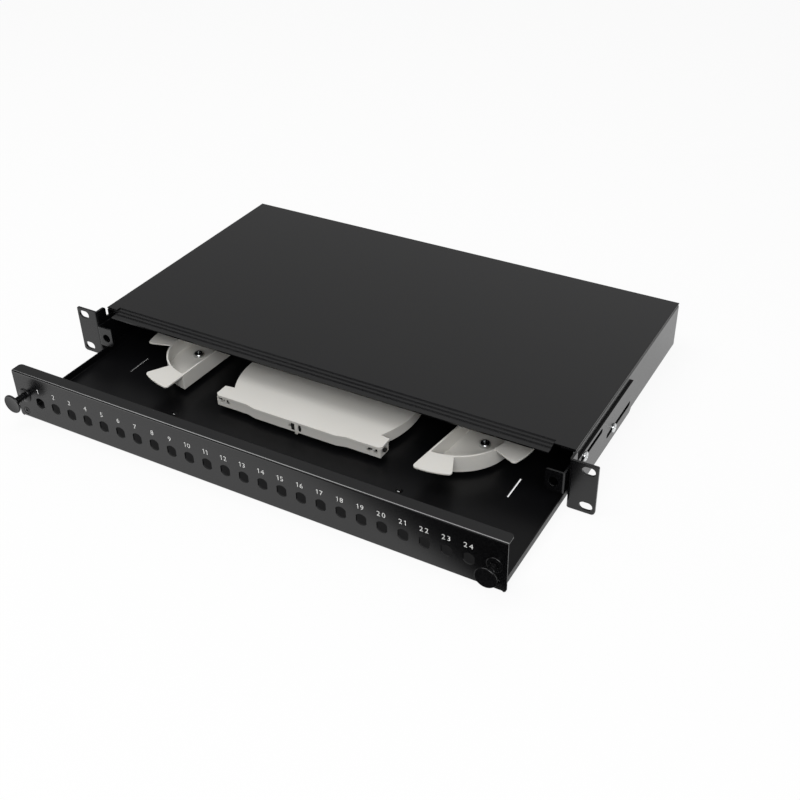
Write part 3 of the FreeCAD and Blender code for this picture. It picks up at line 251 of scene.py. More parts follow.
# %% [markdown]
# ## Black nylon
#
# The latch pins and their grommets are moulded in black nylon. It comes out of a polished
# mould, so it is glossier than the powder coat and shows small bright reflections. Nylon's
# refractive index is about 1.53, and a slightly lower one matches the look of these pins.


# %% Black nylon
def black_nylon():
    """Glossy black plastic, with slow ripples in its gloss."""
    material, tree, output = new_material("black_moulded_nylon")
    place = add(tree, "ShaderNodeTexCoord").outputs["Object"]
    ripple_size = 3 * MM
    ripple = add(tree, "ShaderNodeTexNoise", inputs={
        "Scale": 1 / ripple_size, "Detail": 2.0,
    }, links={"Vector": place})
    gloss = add(tree, "ShaderNodeMapRange", inputs={"To Min": 0.12, "To Max": 0.2},
                links={"Value": ripple.outputs["Fac"]})
    colour = add(tree, "ShaderNodeMix", {"data_type": "RGBA"}, {
        COLOUR_A: linear("#0c0c0d"), COLOUR_B: linear("#121213"),
    }, {FACTOR: ripple.outputs["Fac"]})
    shader = add(tree, "ShaderNodeBsdfPrincipled", inputs={"IOR": 1.46}, links={
        "Base Color": colour.outputs[MIXED], "Roughness": gloss.outputs["Result"],
    })
    tree.links.new(shader.outputs["BSDF"], output.inputs["Surface"])
    return material


NYLON = black_nylon()
print("plastic", NYLON.name)

# %% [markdown]
# ## Bright zinc plating
#
# Screws, nuts and spacers are steel with a bright zinc plating: a metal with a slightly
# blue-white colour and a fine, uneven grain that breaks up its reflections. The crystals
# are too small to be seen from here, and are drawn coarser, at 1.2 mm.


# %% Zinc
def bright_zinc():
    """Zinc plating, whose crystals differ a little in colour and in gloss."""
    material, tree, output = new_material("bright_zinc_plated_steel")
    place = add(tree, "ShaderNodeTexCoord").outputs["Object"]
    crystal_size = 1.2 * MM
    crystal = add(tree, "ShaderNodeTexNoise", inputs={
        "Scale": 1 / crystal_size, "Detail": 3.0,
    }, links={"Vector": place})
    colour = add(tree, "ShaderNodeMix", {"data_type": "RGBA"}, {
        COLOUR_A: linear("#cdd0d2"), COLOUR_B: linear("#e0e2e1"),
    }, {FACTOR: crystal.outputs["Fac"]})
    dull = add(tree, "ShaderNodeMapRange", inputs={"To Min": 0.16, "To Max": 0.28},
               links={"Value": crystal.outputs["Fac"]})
    shader = add(tree, "ShaderNodeBsdfPrincipled", inputs={"Metallic": 1.0}, links={
        "Base Color": colour.outputs[MIXED], "Roughness": dull.outputs["Result"],
    })
    tree.links.new(shader.outputs["BSDF"], output.inputs["Surface"])
    return material


ZINC = bright_zinc()
print("metal", ZINC.name)

# %% [markdown]
# ## White screen-printing ink
#
# The port numbers are printed on the plate in white ink, which lies on the coat as a thin,
# slightly uneven film. Its specks, too, are drawn coarser than they are, to show at all.


# %% Ink
def printing_ink():
    """Matt white ink, a little thinner in places."""
    material, tree, output = new_material("white_screen_printing_ink")
    place = add(tree, "ShaderNodeTexCoord").outputs["Object"]
    speck_size = 0.6 * MM
    specks = add(tree, "ShaderNodeTexNoise", inputs={"Scale": 1 / speck_size},
                 links={"Vector": place})
    colour = add(tree, "ShaderNodeMix", {"data_type": "RGBA"}, {
        COLOUR_A: linear("#e2e2e0"), COLOUR_B: linear("#f0f0ee"),
    }, {FACTOR: specks.outputs["Fac"]})
    shader = add(tree, "ShaderNodeBsdfPrincipled", inputs={"Roughness": 0.55},
                 links={"Base Color": colour.outputs[MIXED]})
    tree.links.new(shader.outputs["BSDF"], output.inputs["Surface"])
    return material


INK = printing_ink()
print("ink", INK.name)

# %% [markdown]
# ## The dark inside a closed box
#
# Through the slots of the splice cassette the eye sees only the dark of its closed inside.
# Blocks of nearly black, quite matt plastic behind the slots paint that shade in. They carry
# no
# pattern, because the dark would show none.


# %% Unlit hollow
def unlit_hollow():
    """Painted shade: the dark of a closed box seen through a slot in its wall."""
    material, tree, output = new_material("unlit_plastic_hollow")
    shader = add(tree, "ShaderNodeBsdfPrincipled",
                 inputs={"Base Color": linear("#0b0a09"), "Roughness": 0.9})
    tree.links.new(shader.outputs["BSDF"], output.inputs["Surface"])
    return material


HOLLOW = unlit_hollow()
print("hollow", HOLLOW.name)

# %% [markdown]
# ## Finishes on the CAD nodes
#
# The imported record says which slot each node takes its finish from, so one loop dresses all
# of them. It also says which body each node belongs to, which the new pieces need.

# %% Dress the nodes
FINISHES = {"powder_coat": COAT, "grey_abs": ABS, "black_nylon": NYLON, "zinc": ZINC}
NODE_SLOT = {part["node"]: part["material_slot"] for part in frame["record"]["subparts"]}
NODE_BODY = {
    node: body
    for body, members in frame["record"]["behaviour"]["bodies"].items()
    for node in members
}


def finish_with(piece, material):
    """Give a piece one material."""
    piece.data.materials.clear()
    piece.data.materials.append(material)


for node, piece in frame["nodes"].items():
    finish_with(piece, FINISHES[NODE_SLOT[node]])
print(len(frame["nodes"]), "nodes dressed")

# %% [markdown]
# ## Softened edges
#
# Nothing pressed or moulded has a knife edge, and the thin bright line along each edge is
# what makes a render believable. A CAD mesh is loose triangles, so a copy is welded, its
# flat faces are joined, and a Bevel modifier rounds the edges. The copy stands for the node.
# The same function can round a whole bend of the sheet and give single faces another coat,
# which the plate and the lid need in the next step.

# %% Edge softening
WELD_REACH, FLAT_WITHIN = 0.002 * MM, math.radians(0.5)
EDGE_SEGMENTS, EDGE_TURN = 2, math.radians(30)
BEND_SEGMENTS = 6
SHEET_EDGE, MOULDED_EDGE = 0.2 * MM, 0.35 * MM


def softened(node, width, bends=(), coat_of=None):
    """A welded copy of a CAD node with rounded edges, in the node's place.

    Each of bends is a test and a radius. The test says of an edge's middle, in metres,
    whether the sheet is bent there. coat_of gives the number of a face's coat: 0 as the
    whole node, 1 the glossier coat of painted highlight, 2 the duller coat of painted shade.
    """
    source = frame["nodes"][node]
    mesh = bpy.data.meshes.new(node + "_soft")
    shape = bmesh.new()
    shape.from_mesh(source.data)
    bmesh.ops.remove_doubles(shape, verts=shape.verts, dist=WELD_REACH)
    bmesh.ops.dissolve_limit(
        shape, angle_limit=FLAT_WITHIN, verts=shape.verts, edges=shape.edges
    )
    for is_bend, radius in bends:
        bent = [e for e in shape.edges if is_bend((e.verts[0].co + e.verts[1].co) / 2)]
        bmesh.ops.bevel(
            shape, geom=bent, offset=radius, segments=BEND_SEGMENTS, affect="EDGES",
            profile=0.5, material=-1,
        )
    for face in shape.faces:
        face.material_index = coat_of(face) if coat_of else 0
    shape.to_mesh(mesh)
    shape.free()
    mesh.shade_smooth()
    piece = bpy.data.objects.new(node + "_soft", mesh)
    bpy.context.scene.collection.objects.link(piece)
    # The tray takes the duller copy, which paints in the shade over the tray.
    mesh.materials.append(SHADED_COAT if node == "drawer_tray" else FINISHES[NODE_SLOT[node]])
    if coat_of:
        # The second and third coats: painted highlight and painted shade.
        mesh.materials.append(HIGHLIGHT_COAT)
        mesh.materials.append(SHADED_COAT)
    bevel = piece.modifiers.new("rounded edges", "BEVEL")
    bevel.width = width
    bevel.segments = EDGE_SEGMENTS
    bevel.limit_method = "ANGLE"
    bevel.angle_limit = EDGE_TURN
    bevel.use_clamp_overlap = True
    flat = piece.modifiers.new("flat faces stay flat", "WEIGHTED_NORMAL")
    flat.keep_sharp = True
    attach(piece, NODE_BODY[node])
    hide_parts(node)
    print(piece.name, len(mesh.polygons), "faces")


for node in ("fibre_spool_right", "fibre_spool_left", "cassette_base", "cassette_cover"):
    softened(node, MOULDED_EDGE)
for node in ("case_body", "drawer_tray", "rack_bracket_right", "rack_bracket_left",
             "catch_plate_right", "catch_plate_left"):
    softened(node, SHEET_EDGE)

# %% [markdown]
# ## Bent sheet
#
# A press brake leaves a round bend, and each bend mirrors the lamps as a soft line. The
# plate's top bend is round in the CAD model already, and gets its painted highlight here. The
# plate's foot and three sides of the lid are sharp there, so their edges are bevelled.

# %% Plate and lid
PLATE_LOW, PLATE_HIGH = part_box("front_plate")
COVER_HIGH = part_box("top_cover")[1]
NEAR = 0.05 * MM
TOP_BEND_DEPTH, TOP_BEND_TILT = 1.6 * MM, 0.05
BEHIND_FACE = 1.0 * MM
FOOT_RADIUS, LID_RADIUS = 1.6 * MM, 0.8 * MM


def plate_coat(face):
    """Coat 1, the painted highlight, on the plate's round top bend, and 2, the painted shade,
    on its back and its foot.
    """
    middle = face.calc_center_median()
    if PLATE_HIGH[2] - middle.z < TOP_BEND_DEPTH:
        return int(face.normal.z > TOP_BEND_TILT and face.normal.y < -TOP_BEND_TILT)
    return 2 if middle.y - PLATE_LOW[1] > BEHIND_FACE else 0


def foot_bend(middle):
    """The plate's long bend at its foot."""
    return abs(middle.z - PLATE_LOW[2]) < NEAR and abs(middle.y - PLATE_LOW[1]) < NEAR


def cover_bend(middle):
    """The lid's bends along its two sides and its back."""
    edge = max(abs(middle.x) - COVER_HIGH[0], middle.y - COVER_HIGH[1])
    return abs(edge) < NEAR and abs(middle.z - COVER_HIGH[2]) < NEAR


softened("front_plate", SHEET_EDGE, bends=((foot_bend, FOOT_RADIUS),), coat_of=plate_coat)
softened("top_cover", SHEET_EDGE, bends=((cover_bend, LID_RADIUS),))

# %% [markdown]
# ## Turned shapes
#
# Screws, latch pins and collars are turned parts. Each starts as half of its outline, drawn
# in millimetres as radius and height, and one full spin makes the solid. A small helper
# draws the quarter rounds of such an outline.

# %% Turning
MERGE_REACH, SLIVER = 0.001 * MM, 0.0005 * MM


def as_mesh(shape, name="shape"):
    """Write a bmesh to a new mesh, and free it."""
    mesh = bpy.data.meshes.new(name)
    shape.to_mesh(mesh)
    shape.free()
    return mesh


def spun(outline, steps=48, ring=False):
    """Spin an outline of (radius, height) pairs in millimetres about Z."""
    shape = bmesh.new()
    corners = [shape.verts.new((radius * MM, 0, height * MM)) for radius, height in outline]
    pairs = list(zip(corners, corners[1:]))
    if ring:
        pairs.append((corners[-1], corners[0]))
    edges = [shape.edges.new(pair) for pair in pairs]
    bmesh.ops.spin(
        shape, geom=corners + edges, cent=(0, 0, 0), axis=(0, 0, 1), dvec=(0, 0, 0),
        angle=math.tau, steps=steps, use_merge=True, use_duplicate=False,
    )
    bmesh.ops.remove_doubles(shape, verts=shape.verts, dist=MERGE_REACH)
    bmesh.ops.dissolve_degenerate(shape, edges=shape.edges, dist=SLIVER)
    bmesh.ops.recalc_face_normals(shape, faces=shape.faces)
    return shape


def rounded_corner(radius, height, bend, start, end, count=5):
    """Points on a round about (radius, height), from one angle in degrees to another."""
    return [
        (radius + bend * math.cos(math.radians(start + (end - start) * i / count)),
         height + bend * math.sin(math.radians(start + (end - start) * i / count)))
        for i in range(count + 1)
    ]


print("a quarter round of 1 mm", [
    (round(x, 2), round(y, 2)) for x, y in rounded_corner(0, 0, 1, 0, 90)
])

# %% [markdown]
# ## Blocks and cuts
#
# Bars, slots and clips start as blocks. A Boolean modifier takes blocks away from a solid,
# and the result is read back as a plain mesh, so no Boolean is left on the piece.


# %% Cutting
def block(size, centre, bevel=0.0, segments=2):
    """A block with rounded edges. Its size, centre and rounding are in millimetres."""
    shape = bmesh.new()
    bmesh.ops.create_cube(shape, size=1.0)
    bmesh.ops.scale(shape, vec=[side * MM for side in size], verts=shape.verts)
    bmesh.ops.translate(shape, vec=[at * MM for at in centre], verts=shape.verts)
    if bevel:
        bmesh.ops.bevel(
            shape, geom=shape.edges[:], offset=bevel * MM, segments=segments,
            affect="EDGES", profile=0.5, material=-1,
        )
    return shape


def cut_from(mesh, cutters):
    """The mesh with each cutter mesh taken away from it."""
    target = bpy.data.objects.new("cut_target", mesh)
    bpy.context.scene.collection.objects.link(target)
    tools = []
    for cutter in cutters:
        tool = bpy.data.objects.new("cut_tool", cutter)
        bpy.context.scene.collection.objects.link(tool)
        step = target.modifiers.new("cut", "BOOLEAN")
        step.operation, step.solver, step.object = "DIFFERENCE", "EXACT", tool
        tools.append(tool)
    seen = target.evaluated_get(bpy.context.evaluated_depsgraph_get())
    result = bpy.data.meshes.new_from_object(seen)
    for spare in [target, *tools]:
        bpy.data.objects.remove(spare)
    print("cut away", len(cutters), "shapes,", len(result.polygons), "faces left")
    return result


# %% [markdown]
# ## Laying and finishing
#
# One helper lays copies of a shape at their places, with its Z along any direction. Another
# finishes the mesh, gives it a material, ties it to a CAD body and hides the nodes that it
# stands for.

# %% Finishing
SHARP_FROM = math.radians(30)


def lay(shape, mesh, place, direction=(0, 0, 1), turn=0.0):
    """Add a mesh to a bmesh, at a place in millimetres, with its Z along a direction."""
    aim = Vector(direction).to_track_quat("Z", "Y").to_matrix().to_4x4()
    move = Matrix.Translation(Vector(place) * MM) @ aim @ Matrix.Rotation(turn, 4, "Z")
    copy = mesh.copy()
    copy.transform(move)
    shape.from_mesh(copy)
    bpy.data.meshes.remove(copy)


def finished(name, shape, material, body, stands_for=()):
    """A piece from a bmesh, smooth but for its sharp edges, that rides on a body."""
    mesh = as_mesh(shape, name)
    mesh.shade_smooth()
    mesh.set_sharp_from_angle(angle=SHARP_FROM)
    piece = bpy.data.objects.new(name, mesh)
    bpy.context.scene.collection.objects.link(piece)
    finish_with(piece, material)
    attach(piece, body)
    if stands_for:
        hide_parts(*stands_for)
    print(name, len(mesh.polygons), "faces")


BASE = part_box("case_body")[0][2] / MM
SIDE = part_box("case_body")[1][0] / MM
print("the case's underside and its right side, in millimetres", BASE, SIDE)

# %% [markdown]
# ## Cross-recess screws
#
# The brackets and the spools are held by bright zinc pan-head screws. A pan head has a
# nearly flat top, well-rounded shoulders and a cross recess. The head is spun, and two
# tapered bars are cut from it at right angles, as the punch does it in the factory. The
# recess matters: it catches the light as a bright star with black corners. The screws
# differ in size more than in form, so most values are shares of the head and of its rise.

# %% Screws
CROSS_WING, CROSS_WIDTH, CROSS_DEPTH, CROSS_TAPER = 0.6, 0.13, 0.75, (0.55, 0.6, 1)
SHOULDER, CROWN = 0.6, 0.25
POINT_IN, POINT_UP, RIM_IN, RIM_UP = 0.4, 0.5, 0.15, 0.2


def cross_bars(wing, width, depth, top):
    """Two tapered bars that make a cross recess of this depth below the top."""
    bars = []
    for turn in (0.0, math.pi / 2):
        bar = block((wing, width, depth * 2), (0, 0, top))
        tips = [v for v in bar.verts if v.co.z < top * MM]
        bmesh.ops.scale(bar, vec=CROSS_TAPER, verts=tips)
        bmesh.ops.rotate(bar, cent=(0, 0, 0), matrix=Matrix.Rotation(turn, 3, "Z"),
                         verts=bar.verts)
        bars.append(as_mesh(bar))
    return bars


def pan_screw(head, rise, shank, length):
    """A pan-head screw in millimetres, with its seat at the origin and its head along Z."""
    bend = rise * SHOULDER
    shoulder = rounded_corner(head / 2 - bend, rise - bend, bend, 0, 90)
    outline = [(0, -length), (shank / 2 - POINT_IN, -length),
               (shank / 2, -length + POINT_UP), (shank / 2, 0), (head / 2 - RIM_IN, 0),
               (head / 2, RIM_UP), *shoulder, (head * CROWN, rise), (0, rise)]
    bars = cross_bars(head * CROSS_WING, head * CROSS_WIDTH, rise * CROSS_DEPTH, rise)
    return cut_from(as_mesh(spun(outline)), bars)


# %% [markdown]
# Two screws hold each ear to the side of the case. Nobody lines up the crosses of screws,
# so each has a turn of its own.

# %% Bracket screws
EAR_THICKNESS = 2.0
FRONT_SCREW, REAR_SCREW = (27.0, 6.87), (89.0, -7.63)
FRONT_TURN, REAR_TURN = 0.4, 1.1
bracket_screw = pan_screw(head=7.6, rise=1.7, shank=4.0, length=7.8)
for hand, side in (("right", 1), ("left", -1)):
    screws = bmesh.new()
    for turn, (y, z) in ((FRONT_TURN, FRONT_SCREW), (REAR_TURN, REAR_SCREW)):
        lay(screws, bracket_screw, (side * (SIDE + EAR_THICKNESS), y, z), (side, 0, 0), turn)
    finished(f"bracket_screws_{hand}_cross", screws, ZINC, "case",
             [f"bracket_screws_{hand}"])

# %% [markdown]
# One larger screw in each spool goes into the post below. The screw's CAD node gives its
# place, and the new head starts where the head of the CAD screw does.


# %% Spool screws
def boxed_middle(node):
    """The middle of a node's box at rest, in millimetres."""
    low, high = (Vector(corner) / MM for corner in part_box(node))
    return (low + high) / 2


SPOOL_HEAD_RISE, SPOOL_SCREW_TURN = 2.2, 0.6
spool_screw = pan_screw(head=9.4, rise=3.5, shank=4.2, length=5.4)
for hand in ("right", "left"):
    node = f"spool_screw_{hand}"
    middle, seat = boxed_middle(node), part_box(node)[1][2] / MM - SPOOL_HEAD_RISE
    screw = bmesh.new()
    lay(screw, spool_screw, (middle.x, middle.y, seat), turn=SPOOL_SCREW_TURN)
    finished(f"spool_screw_{hand}_cross", screw, ZINC, NODE_BODY[node], [node])

# %% [markdown]
# The drawer's plate is held at each end by a countersunk screw, painted black and flush
# with the plate. Its cone and its recess are modelled, so that it reads as a screw and not
# as a printed ring.

# %% Plate screws
PLATE_FRONT = -101.1
HEAD_RADIUS = 3.45
PLATE_SCREW_INSET, PLATE_SCREW_RISE, PLATE_SCREW_TURN = 7.7, 6.4, 0.5
outline = [(0, -7.0), (1.3, -7.0), (1.75, -6.4), (1.75, -1.9), (HEAD_RADIUS - 0.5, -0.6),
           (HEAD_RADIUS - 0.5, -0.35), (HEAD_RADIUS - 0.75, -0.15), (1.6, 0.0), (0, 0.0)]
plate_screw = cut_from(as_mesh(spun(outline)),
                       cross_bars(wing=4.4, width=1.0, depth=2.4, top=0.0))
screws = bmesh.new()
for side in (-1, 1):
    place = (side * (SIDE - PLATE_SCREW_INSET), PLATE_FRONT, BASE + PLATE_SCREW_RISE)
    lay(screws, plate_screw, place, (0, -1, 0), PLATE_SCREW_TURN)
finished("plate_screws_cross", screws, FINISHES[NODE_SLOT["plate_screws"]], "drawer",
         ["plate_screws"])

# %% [markdown]
# ## Latch pins
#
# Each end of the plate carries a nylon snap rivet that locks the drawer: a ribbed pin with
# a large round push face slides in a grommet with a rounded rim. The ribs, the short hub
# behind the face and the soft rim of the face are what the eye picks out in the photograph,
# because the black nylon shows only its highlights.

# %% Latches
LATCH_INSET, LATCH_RISE = 9.7, 21.83
PIN_CORE, PIN_RIB = 2.3, 2.92
RIB_COUNT, RIB_FIRST, RIB_PITCH, RIB_TOP, RIB_ROOT = 4, 2.6, 2.2, 0.4, 0.75
pin = [(0, -7.1), (1.5, -7.1), (2.5, -6.2), (PIN_RIB, -4.6), (PIN_RIB, -3.4),
       (PIN_CORE, -2.6)]
for i in range(RIB_COUNT):
    rib = RIB_FIRST + i * RIB_PITCH
    pin += [(PIN_CORE, rib - RIB_ROOT), (PIN_RIB, rib - RIB_TOP), (PIN_RIB, rib + RIB_TOP),
            (PIN_CORE, rib + RIB_ROOT)]
hub = [(PIN_CORE, 11.2), *rounded_corner(4.2, 11.6, 0.3, -90, 0, 3), (4.5, 12.9)]
knob = [(7.45, 12.9), *rounded_corner(7.35, 13.85, 0.9, -80, 90, 8), (6.9, 14.62),
        (6.2, 14.5), (0, 14.4)]
plunger = as_mesh(spun(pin + hub + knob, steps=64))
rim = [(3.0, 1.0), *rounded_corner(3.5, 0.62, 0.38, 120, 60, 3),
       *rounded_corner(5.45, 0.2, 0.8, 75, 0, 5), (6.25, 0.0), (4.1, 0.0), (4.1, -2.2),
       (3.7, -2.2), (3.0, -2.0)]
grommet = as_mesh(spun(rim, steps=64, ring=True))
for hand, side in (("right", 1), ("left", -1)):
    place = (side * (SIDE - LATCH_INSET), PLATE_FRONT, BASE + LATCH_RISE)
    shape = bmesh.new()
    lay(shape, plunger, place, (0, -1, 0))
    node = f"latch_plunger_{hand}"
    finished(f"{node}_ribbed", shape, NYLON, NODE_BODY[node], [node])
    shape = bmesh.new()
    lay(shape, grommet, place, (0, -1, 0))
    node = f"latch_grommet_{hand}"
    finished(f"{node}_rounded", shape, NYLON, NODE_BODY[node], [node])

# %% [markdown]
# ## Catch rings
#
# The catch angle beside each ear has a hole that the pin's tip snaps into. Its edge is
# pressed up into a low collar, which shows as a ring of light on the dark tab.

# %% Catch rings
COLLAR_RISE = 0.56
collar = as_mesh(spun([(3.85, -0.05), (3.9, 0.35), (4.2, 0.55), (4.7, 0.5), (5.2, 0.2),
                       (5.3, -0.05)], ring=True))
for hand, side in (("right", 1), ("left", -1)):
    shape = bmesh.new()
    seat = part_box(f"catch_plate_{hand}")[0][1] / MM + COLLAR_RISE
    lay(shape, collar, (side * (SIDE - LATCH_INSET), seat, BASE + LATCH_RISE), (0, -1, 0))
    finished(f"catch_ring_{hand}", shape, COAT, "case")

# %% [markdown]
# ## Port numbers
#
# Plain sans-serif numerals count the ports from 1 to 24. A text object is made a mesh for
# each figure. The 1 is drawn from a listed outline, because a small flag and no foot suit
# this print. The figures are scaled to one height, stood up on the plate and centred over
# their ports. They are as thin as the ink, so they lie on the coat without a visible edge.

# %% Figures
ONE = ((0.13, 0), (0.215, 0), (0.215, 0.69), (0.15, 0.69), (0.0, 0.58), (0.0, 0.5),
       (0.13, 0.59))
THINNED = -0.005


def figure_mesh(character):
    """One figure as a flat mesh, with its foot on the X axis and its left side at X = 0."""
    if character == "1":
        flagged = bmesh.new()
        flagged.faces.new([flagged.verts.new((x, y, 0)) for x, y in ONE])
        return as_mesh(flagged)
    text = bpy.data.curves.new(f"figure_{character}", "FONT")
    text.body = character
    text.resolution_u = 4
    text.offset = THINNED
    holder = bpy.data.objects.new("number", text)
    bpy.context.scene.collection.objects.link(holder)
    seen = holder.evaluated_get(bpy.context.evaluated_depsgraph_get())
    mesh = bpy.data.meshes.new_from_object(seen)
    bpy.data.objects.remove(holder)
    bpy.data.curves.remove(text)
    mesh.transform(Matrix.Translation((-min(v.co.x for v in mesh.vertices), 0, 0)))
    return mesh


figures = {character: figure_mesh(character) for character in "0123456789"}
widths = {name: max(v.co.x for v in mesh.vertices) for name, mesh in figures.items()}
zero = [v.co.y for v in figures["0"].vertices]
print("figure widths", {name: round(width, 3) for name, width in widths.items()})

# %% [markdown]
# The numbers stand in one row. All figures go into one mesh, which is then extruded towards
# the plate by most of the film's thickness, so that its back just misses the coat.

# %% Numbers
PORT_COUNT, PORT_PITCH, PORT_SHIFT = 24, 16.67, -1.5
FIGURE_HEIGHT, FIGURE_FOOT, FIGURE_SHIFT, INK_FILM = 4.15, 28.2, -0.4, 0.03
FIGURE_SPREAD, FIGURE_GAP = 1.04, 0.25
FILM_SHARE, INK_MERGE = 0.8, 0.0005 * MM
scale = FIGURE_HEIGHT / (max(zero) - min(zero)) * MM
digits = bmesh.new()
for i in range(PORT_COUNT):
    number = str(i + 1)
    x = PORT_SHIFT + PORT_PITCH * (i - (PORT_COUNT - 1) / 2)
    foot = Vector((x + FIGURE_SHIFT, PLATE_FRONT - INK_FILM, BASE + FIGURE_FOOT)) * MM
    across = -(sum(widths[name] for name in number) + FIGURE_GAP * (len(number) - 1)) / 2
    for name in number:
        mesh = figures[name].copy()
        mesh.transform(
            Matrix.Translation(foot)
            @ Matrix.Rotation(math.pi / 2, 4, "X") @ Matrix.Scale(scale, 4)
            @ Matrix.Scale(FIGURE_SPREAD, 4, (1, 0, 0))
            @ Matrix.Translation((across, 0, 0))
        )
        digits.from_mesh(mesh)
        across += widths[name] + FIGURE_GAP
bmesh.ops.remove_doubles(digits, verts=digits.verts, dist=INK_MERGE)
film = bmesh.ops.extrude_face_region(digits, geom=digits.faces[:])
raised = [v for v in film["geom"] if isinstance(v, bmesh.types.BMVert)]
bmesh.ops.translate(digits, verts=raised, vec=(0, INK_FILM * FILM_SHARE * MM, 0))
bmesh.ops.recalc_face_normals(digits, faces=digits.faces)
finished("port_numbers", digits, INK, "drawer")

# %% [markdown]
# ## The splice cassette's slots and clip
#
# The cassette's front wall is broken by seven small slots, and there is a notch near its
# right end. They are cut through the softened copies of the tub and of its cover, and dark
# blocks fill them a little behind the wall. A narrow clip in the middle holds the cover.

# %% Cassette slots
CASSETTE_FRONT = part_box("cassette_base")[0][1] / MM
WINDOWS = (  # middle, width, low, high
    (-73.6, 4.2, -8.8, -6.1), (-69.9, 1.2, -9.6, -7.4), (-66.6, 2.2, -9.8, -6.1),
    (-1.9, 3.4, -13.2, -6.1), (4.5, 2.2, -12.8, -6.1), (67.6, 4.0, -9.6, -7.3),
    (73.0, 2.0, -9.4, -7.0),
)
CUT_DEPTH, CUT_MIDDLE = 9.0, 3.4
NOTCH_SIZE, NOTCH_PLACE = (4.0, 2.8, 1.9), (77.9, CASSETTE_FRONT + 6.2, -8.4)
for node in ("cassette_base", "cassette_cover"):
    cutters = [
        as_mesh(block((width, CUT_DEPTH, high - low),
                      (middle, CASSETTE_FRONT + CUT_MIDDLE, (low + high) / 2)))
        for middle, width, low, high in WINDOWS
    ]
    cutters.append(as_mesh(block(NOTCH_SIZE, NOTCH_PLACE)))
    piece = bpy.data.objects[node + "_soft"]
    piece.data = cut_from(piece.data, cutters)

# %% [markdown]
# Each dark block is a little larger than its slot, so that no light gets past it. The
# wall's middle stands forward of its two ends, and so do the blocks there.

# %% Cassette hollows
FORWARD_HALF, END_SETBACK = 45, 2.6
HOLLOW_DEPTH, HOLLOW_RECESS, HOLLOW_MARGIN = 3.0, 0.25, 0.4
NOTCH_MARGIN, NOTCH_INSET = 0.3, 0.6
hollows = bmesh.new()
for middle, width, low, high in WINDOWS:
    wall = CASSETTE_FRONT if abs(middle) < FORWARD_HALF else CASSETTE_FRONT + END_SETBACK
    hollow = as_mesh(block(
        (width + HOLLOW_MARGIN, HOLLOW_DEPTH, high - low + HOLLOW_MARGIN),
        (0, HOLLOW_DEPTH / 2 + HOLLOW_RECESS, 0),
    ))
    hollow.transform(Matrix.Translation(Vector((middle, wall, (low + high) / 2)) * MM))
    hollows.from_mesh(hollow)
hollows.from_mesh(as_mesh(block(
    [side + NOTCH_MARGIN for side in NOTCH_SIZE],
    (NOTCH_PLACE[0] - NOTCH_INSET, *NOTCH_PLACE[1:]),
)))
# The dark blocks are painted shade behind the slots.
finished("cassette_hollows", hollows, HOLLOW, NODE_BODY["cassette_base"])

# %% [markdown]
# The clip is moulded with the tub. It stands out from the wall, between the two middle
# slots that let it bend, and it has well-rounded edges.

# %% Cassette clip
CLIP_WIDTH, CLIP_MIDDLE, CLIP_LOW, CLIP_HIGH = 2.6, 1.4, -15.7, -5.9
CLIP_STAND, CLIP_SUNK, CLIP_ROUND, CLIP_SEGMENTS = 0.8, 0.05, 0.3, 3
clip = block(
    (CLIP_WIDTH, CLIP_STAND, CLIP_HIGH - CLIP_LOW),
    (CLIP_MIDDLE, CASSETTE_FRONT - CLIP_STAND / 2 + CLIP_SUNK, (CLIP_LOW + CLIP_HIGH) / 2),
    CLIP_ROUND, CLIP_SEGMENTS,
)
finished("cassette_clip", clip, ABS, NODE_BODY["cassette_base"])

# %% [markdown]
# ## Rivets
#
# Low round rivets hold the plate's foot to the tray's floor. A rivet's head is turned, with
# a flat rim and a low dome.

# %% Rivets
SHEET = 1.2
RIVETS_ACROSS, RIVET_ROW, RIVET_SEAT = (-180, -60, 60, 180), -93.5, 0.2
rivet = as_mesh(spun([(0, -0.1), (3.0, -0.1), (3.0, 0.25), (2.6, 0.65), (1.8, 0.9),
                      (0.9, 1.0), (0, 1.02)], steps=32))
TRAY_FLOOR_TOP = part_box("drawer_tray")[0][2] / MM + SHEET
rivets = bmesh.new()
for x in RIVETS_ACROSS:
    lay(rivets, rivet, (x, RIVET_ROW, TRAY_FLOOR_TOP + RIVET_SEAT))
finished("tray_rivets", rivets, COAT, "drawer")

# %% [markdown]
# ## Moulding marks
#
# A mould pushes its part out with pins, and each pin leaves a round mark. The spools carry
# two of them each, which show only as faint circles.

# %% Moulding marks
MARK_SUNK, MARK_PLACES = 0.1, ((-17.0, -20.5), (-17.0, 22.0))
MARK_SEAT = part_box("spool_screw_right")[1][2] / MM - SPOOL_HEAD_RISE - MARK_SUNK
mark = as_mesh(spun([(2.15, -0.05), (2.15, 0.12), (2.3, 0.18), (2.45, 0.12), (2.45, -0.05)],
                    steps=32, ring=True))
for hand, side in (("right", 1), ("left", -1)):
    pivot = boxed_middle(f"spool_screw_{hand}")
    marks = bmesh.new()
    for across, along in MARK_PLACES:
        lay(marks, mark, (pivot.x + side * across, pivot.y + side * along, MARK_SEAT))
    node = f"fibre_spool_{hand}"
    finished(f"ejector_marks_{hand}", marks, ABS, NODE_BODY[node])

# %% [markdown]
# ## The floor
#
# The panel lies on a wide pale floor, which is a hair below it, so that no two faces lie in
# one plane. The floor isn't part of the object.

# %% Floor
FLOOR_REACH, FLOOR_GAP = 6.0, 0.05 * MM
floor_mesh = bpy.data.meshes.new("floor")
shape = bmesh.new()
bmesh.ops.create_grid(shape, x_segments=1, y_segments=1, size=FLOOR_REACH)
bmesh.ops.translate(shape, verts=shape.verts, vec=(0, 0, CAD_BOX[0][2] - FLOOR_GAP))
shape.to_mesh(floor_mesh)
shape.free()
floor = bpy.data.objects.new("floor", floor_mesh)
bpy.context.scene.collection.objects.link(floor)
print("floor at a height of", round(CAD_BOX[0][2] - FLOOR_GAP, 5))

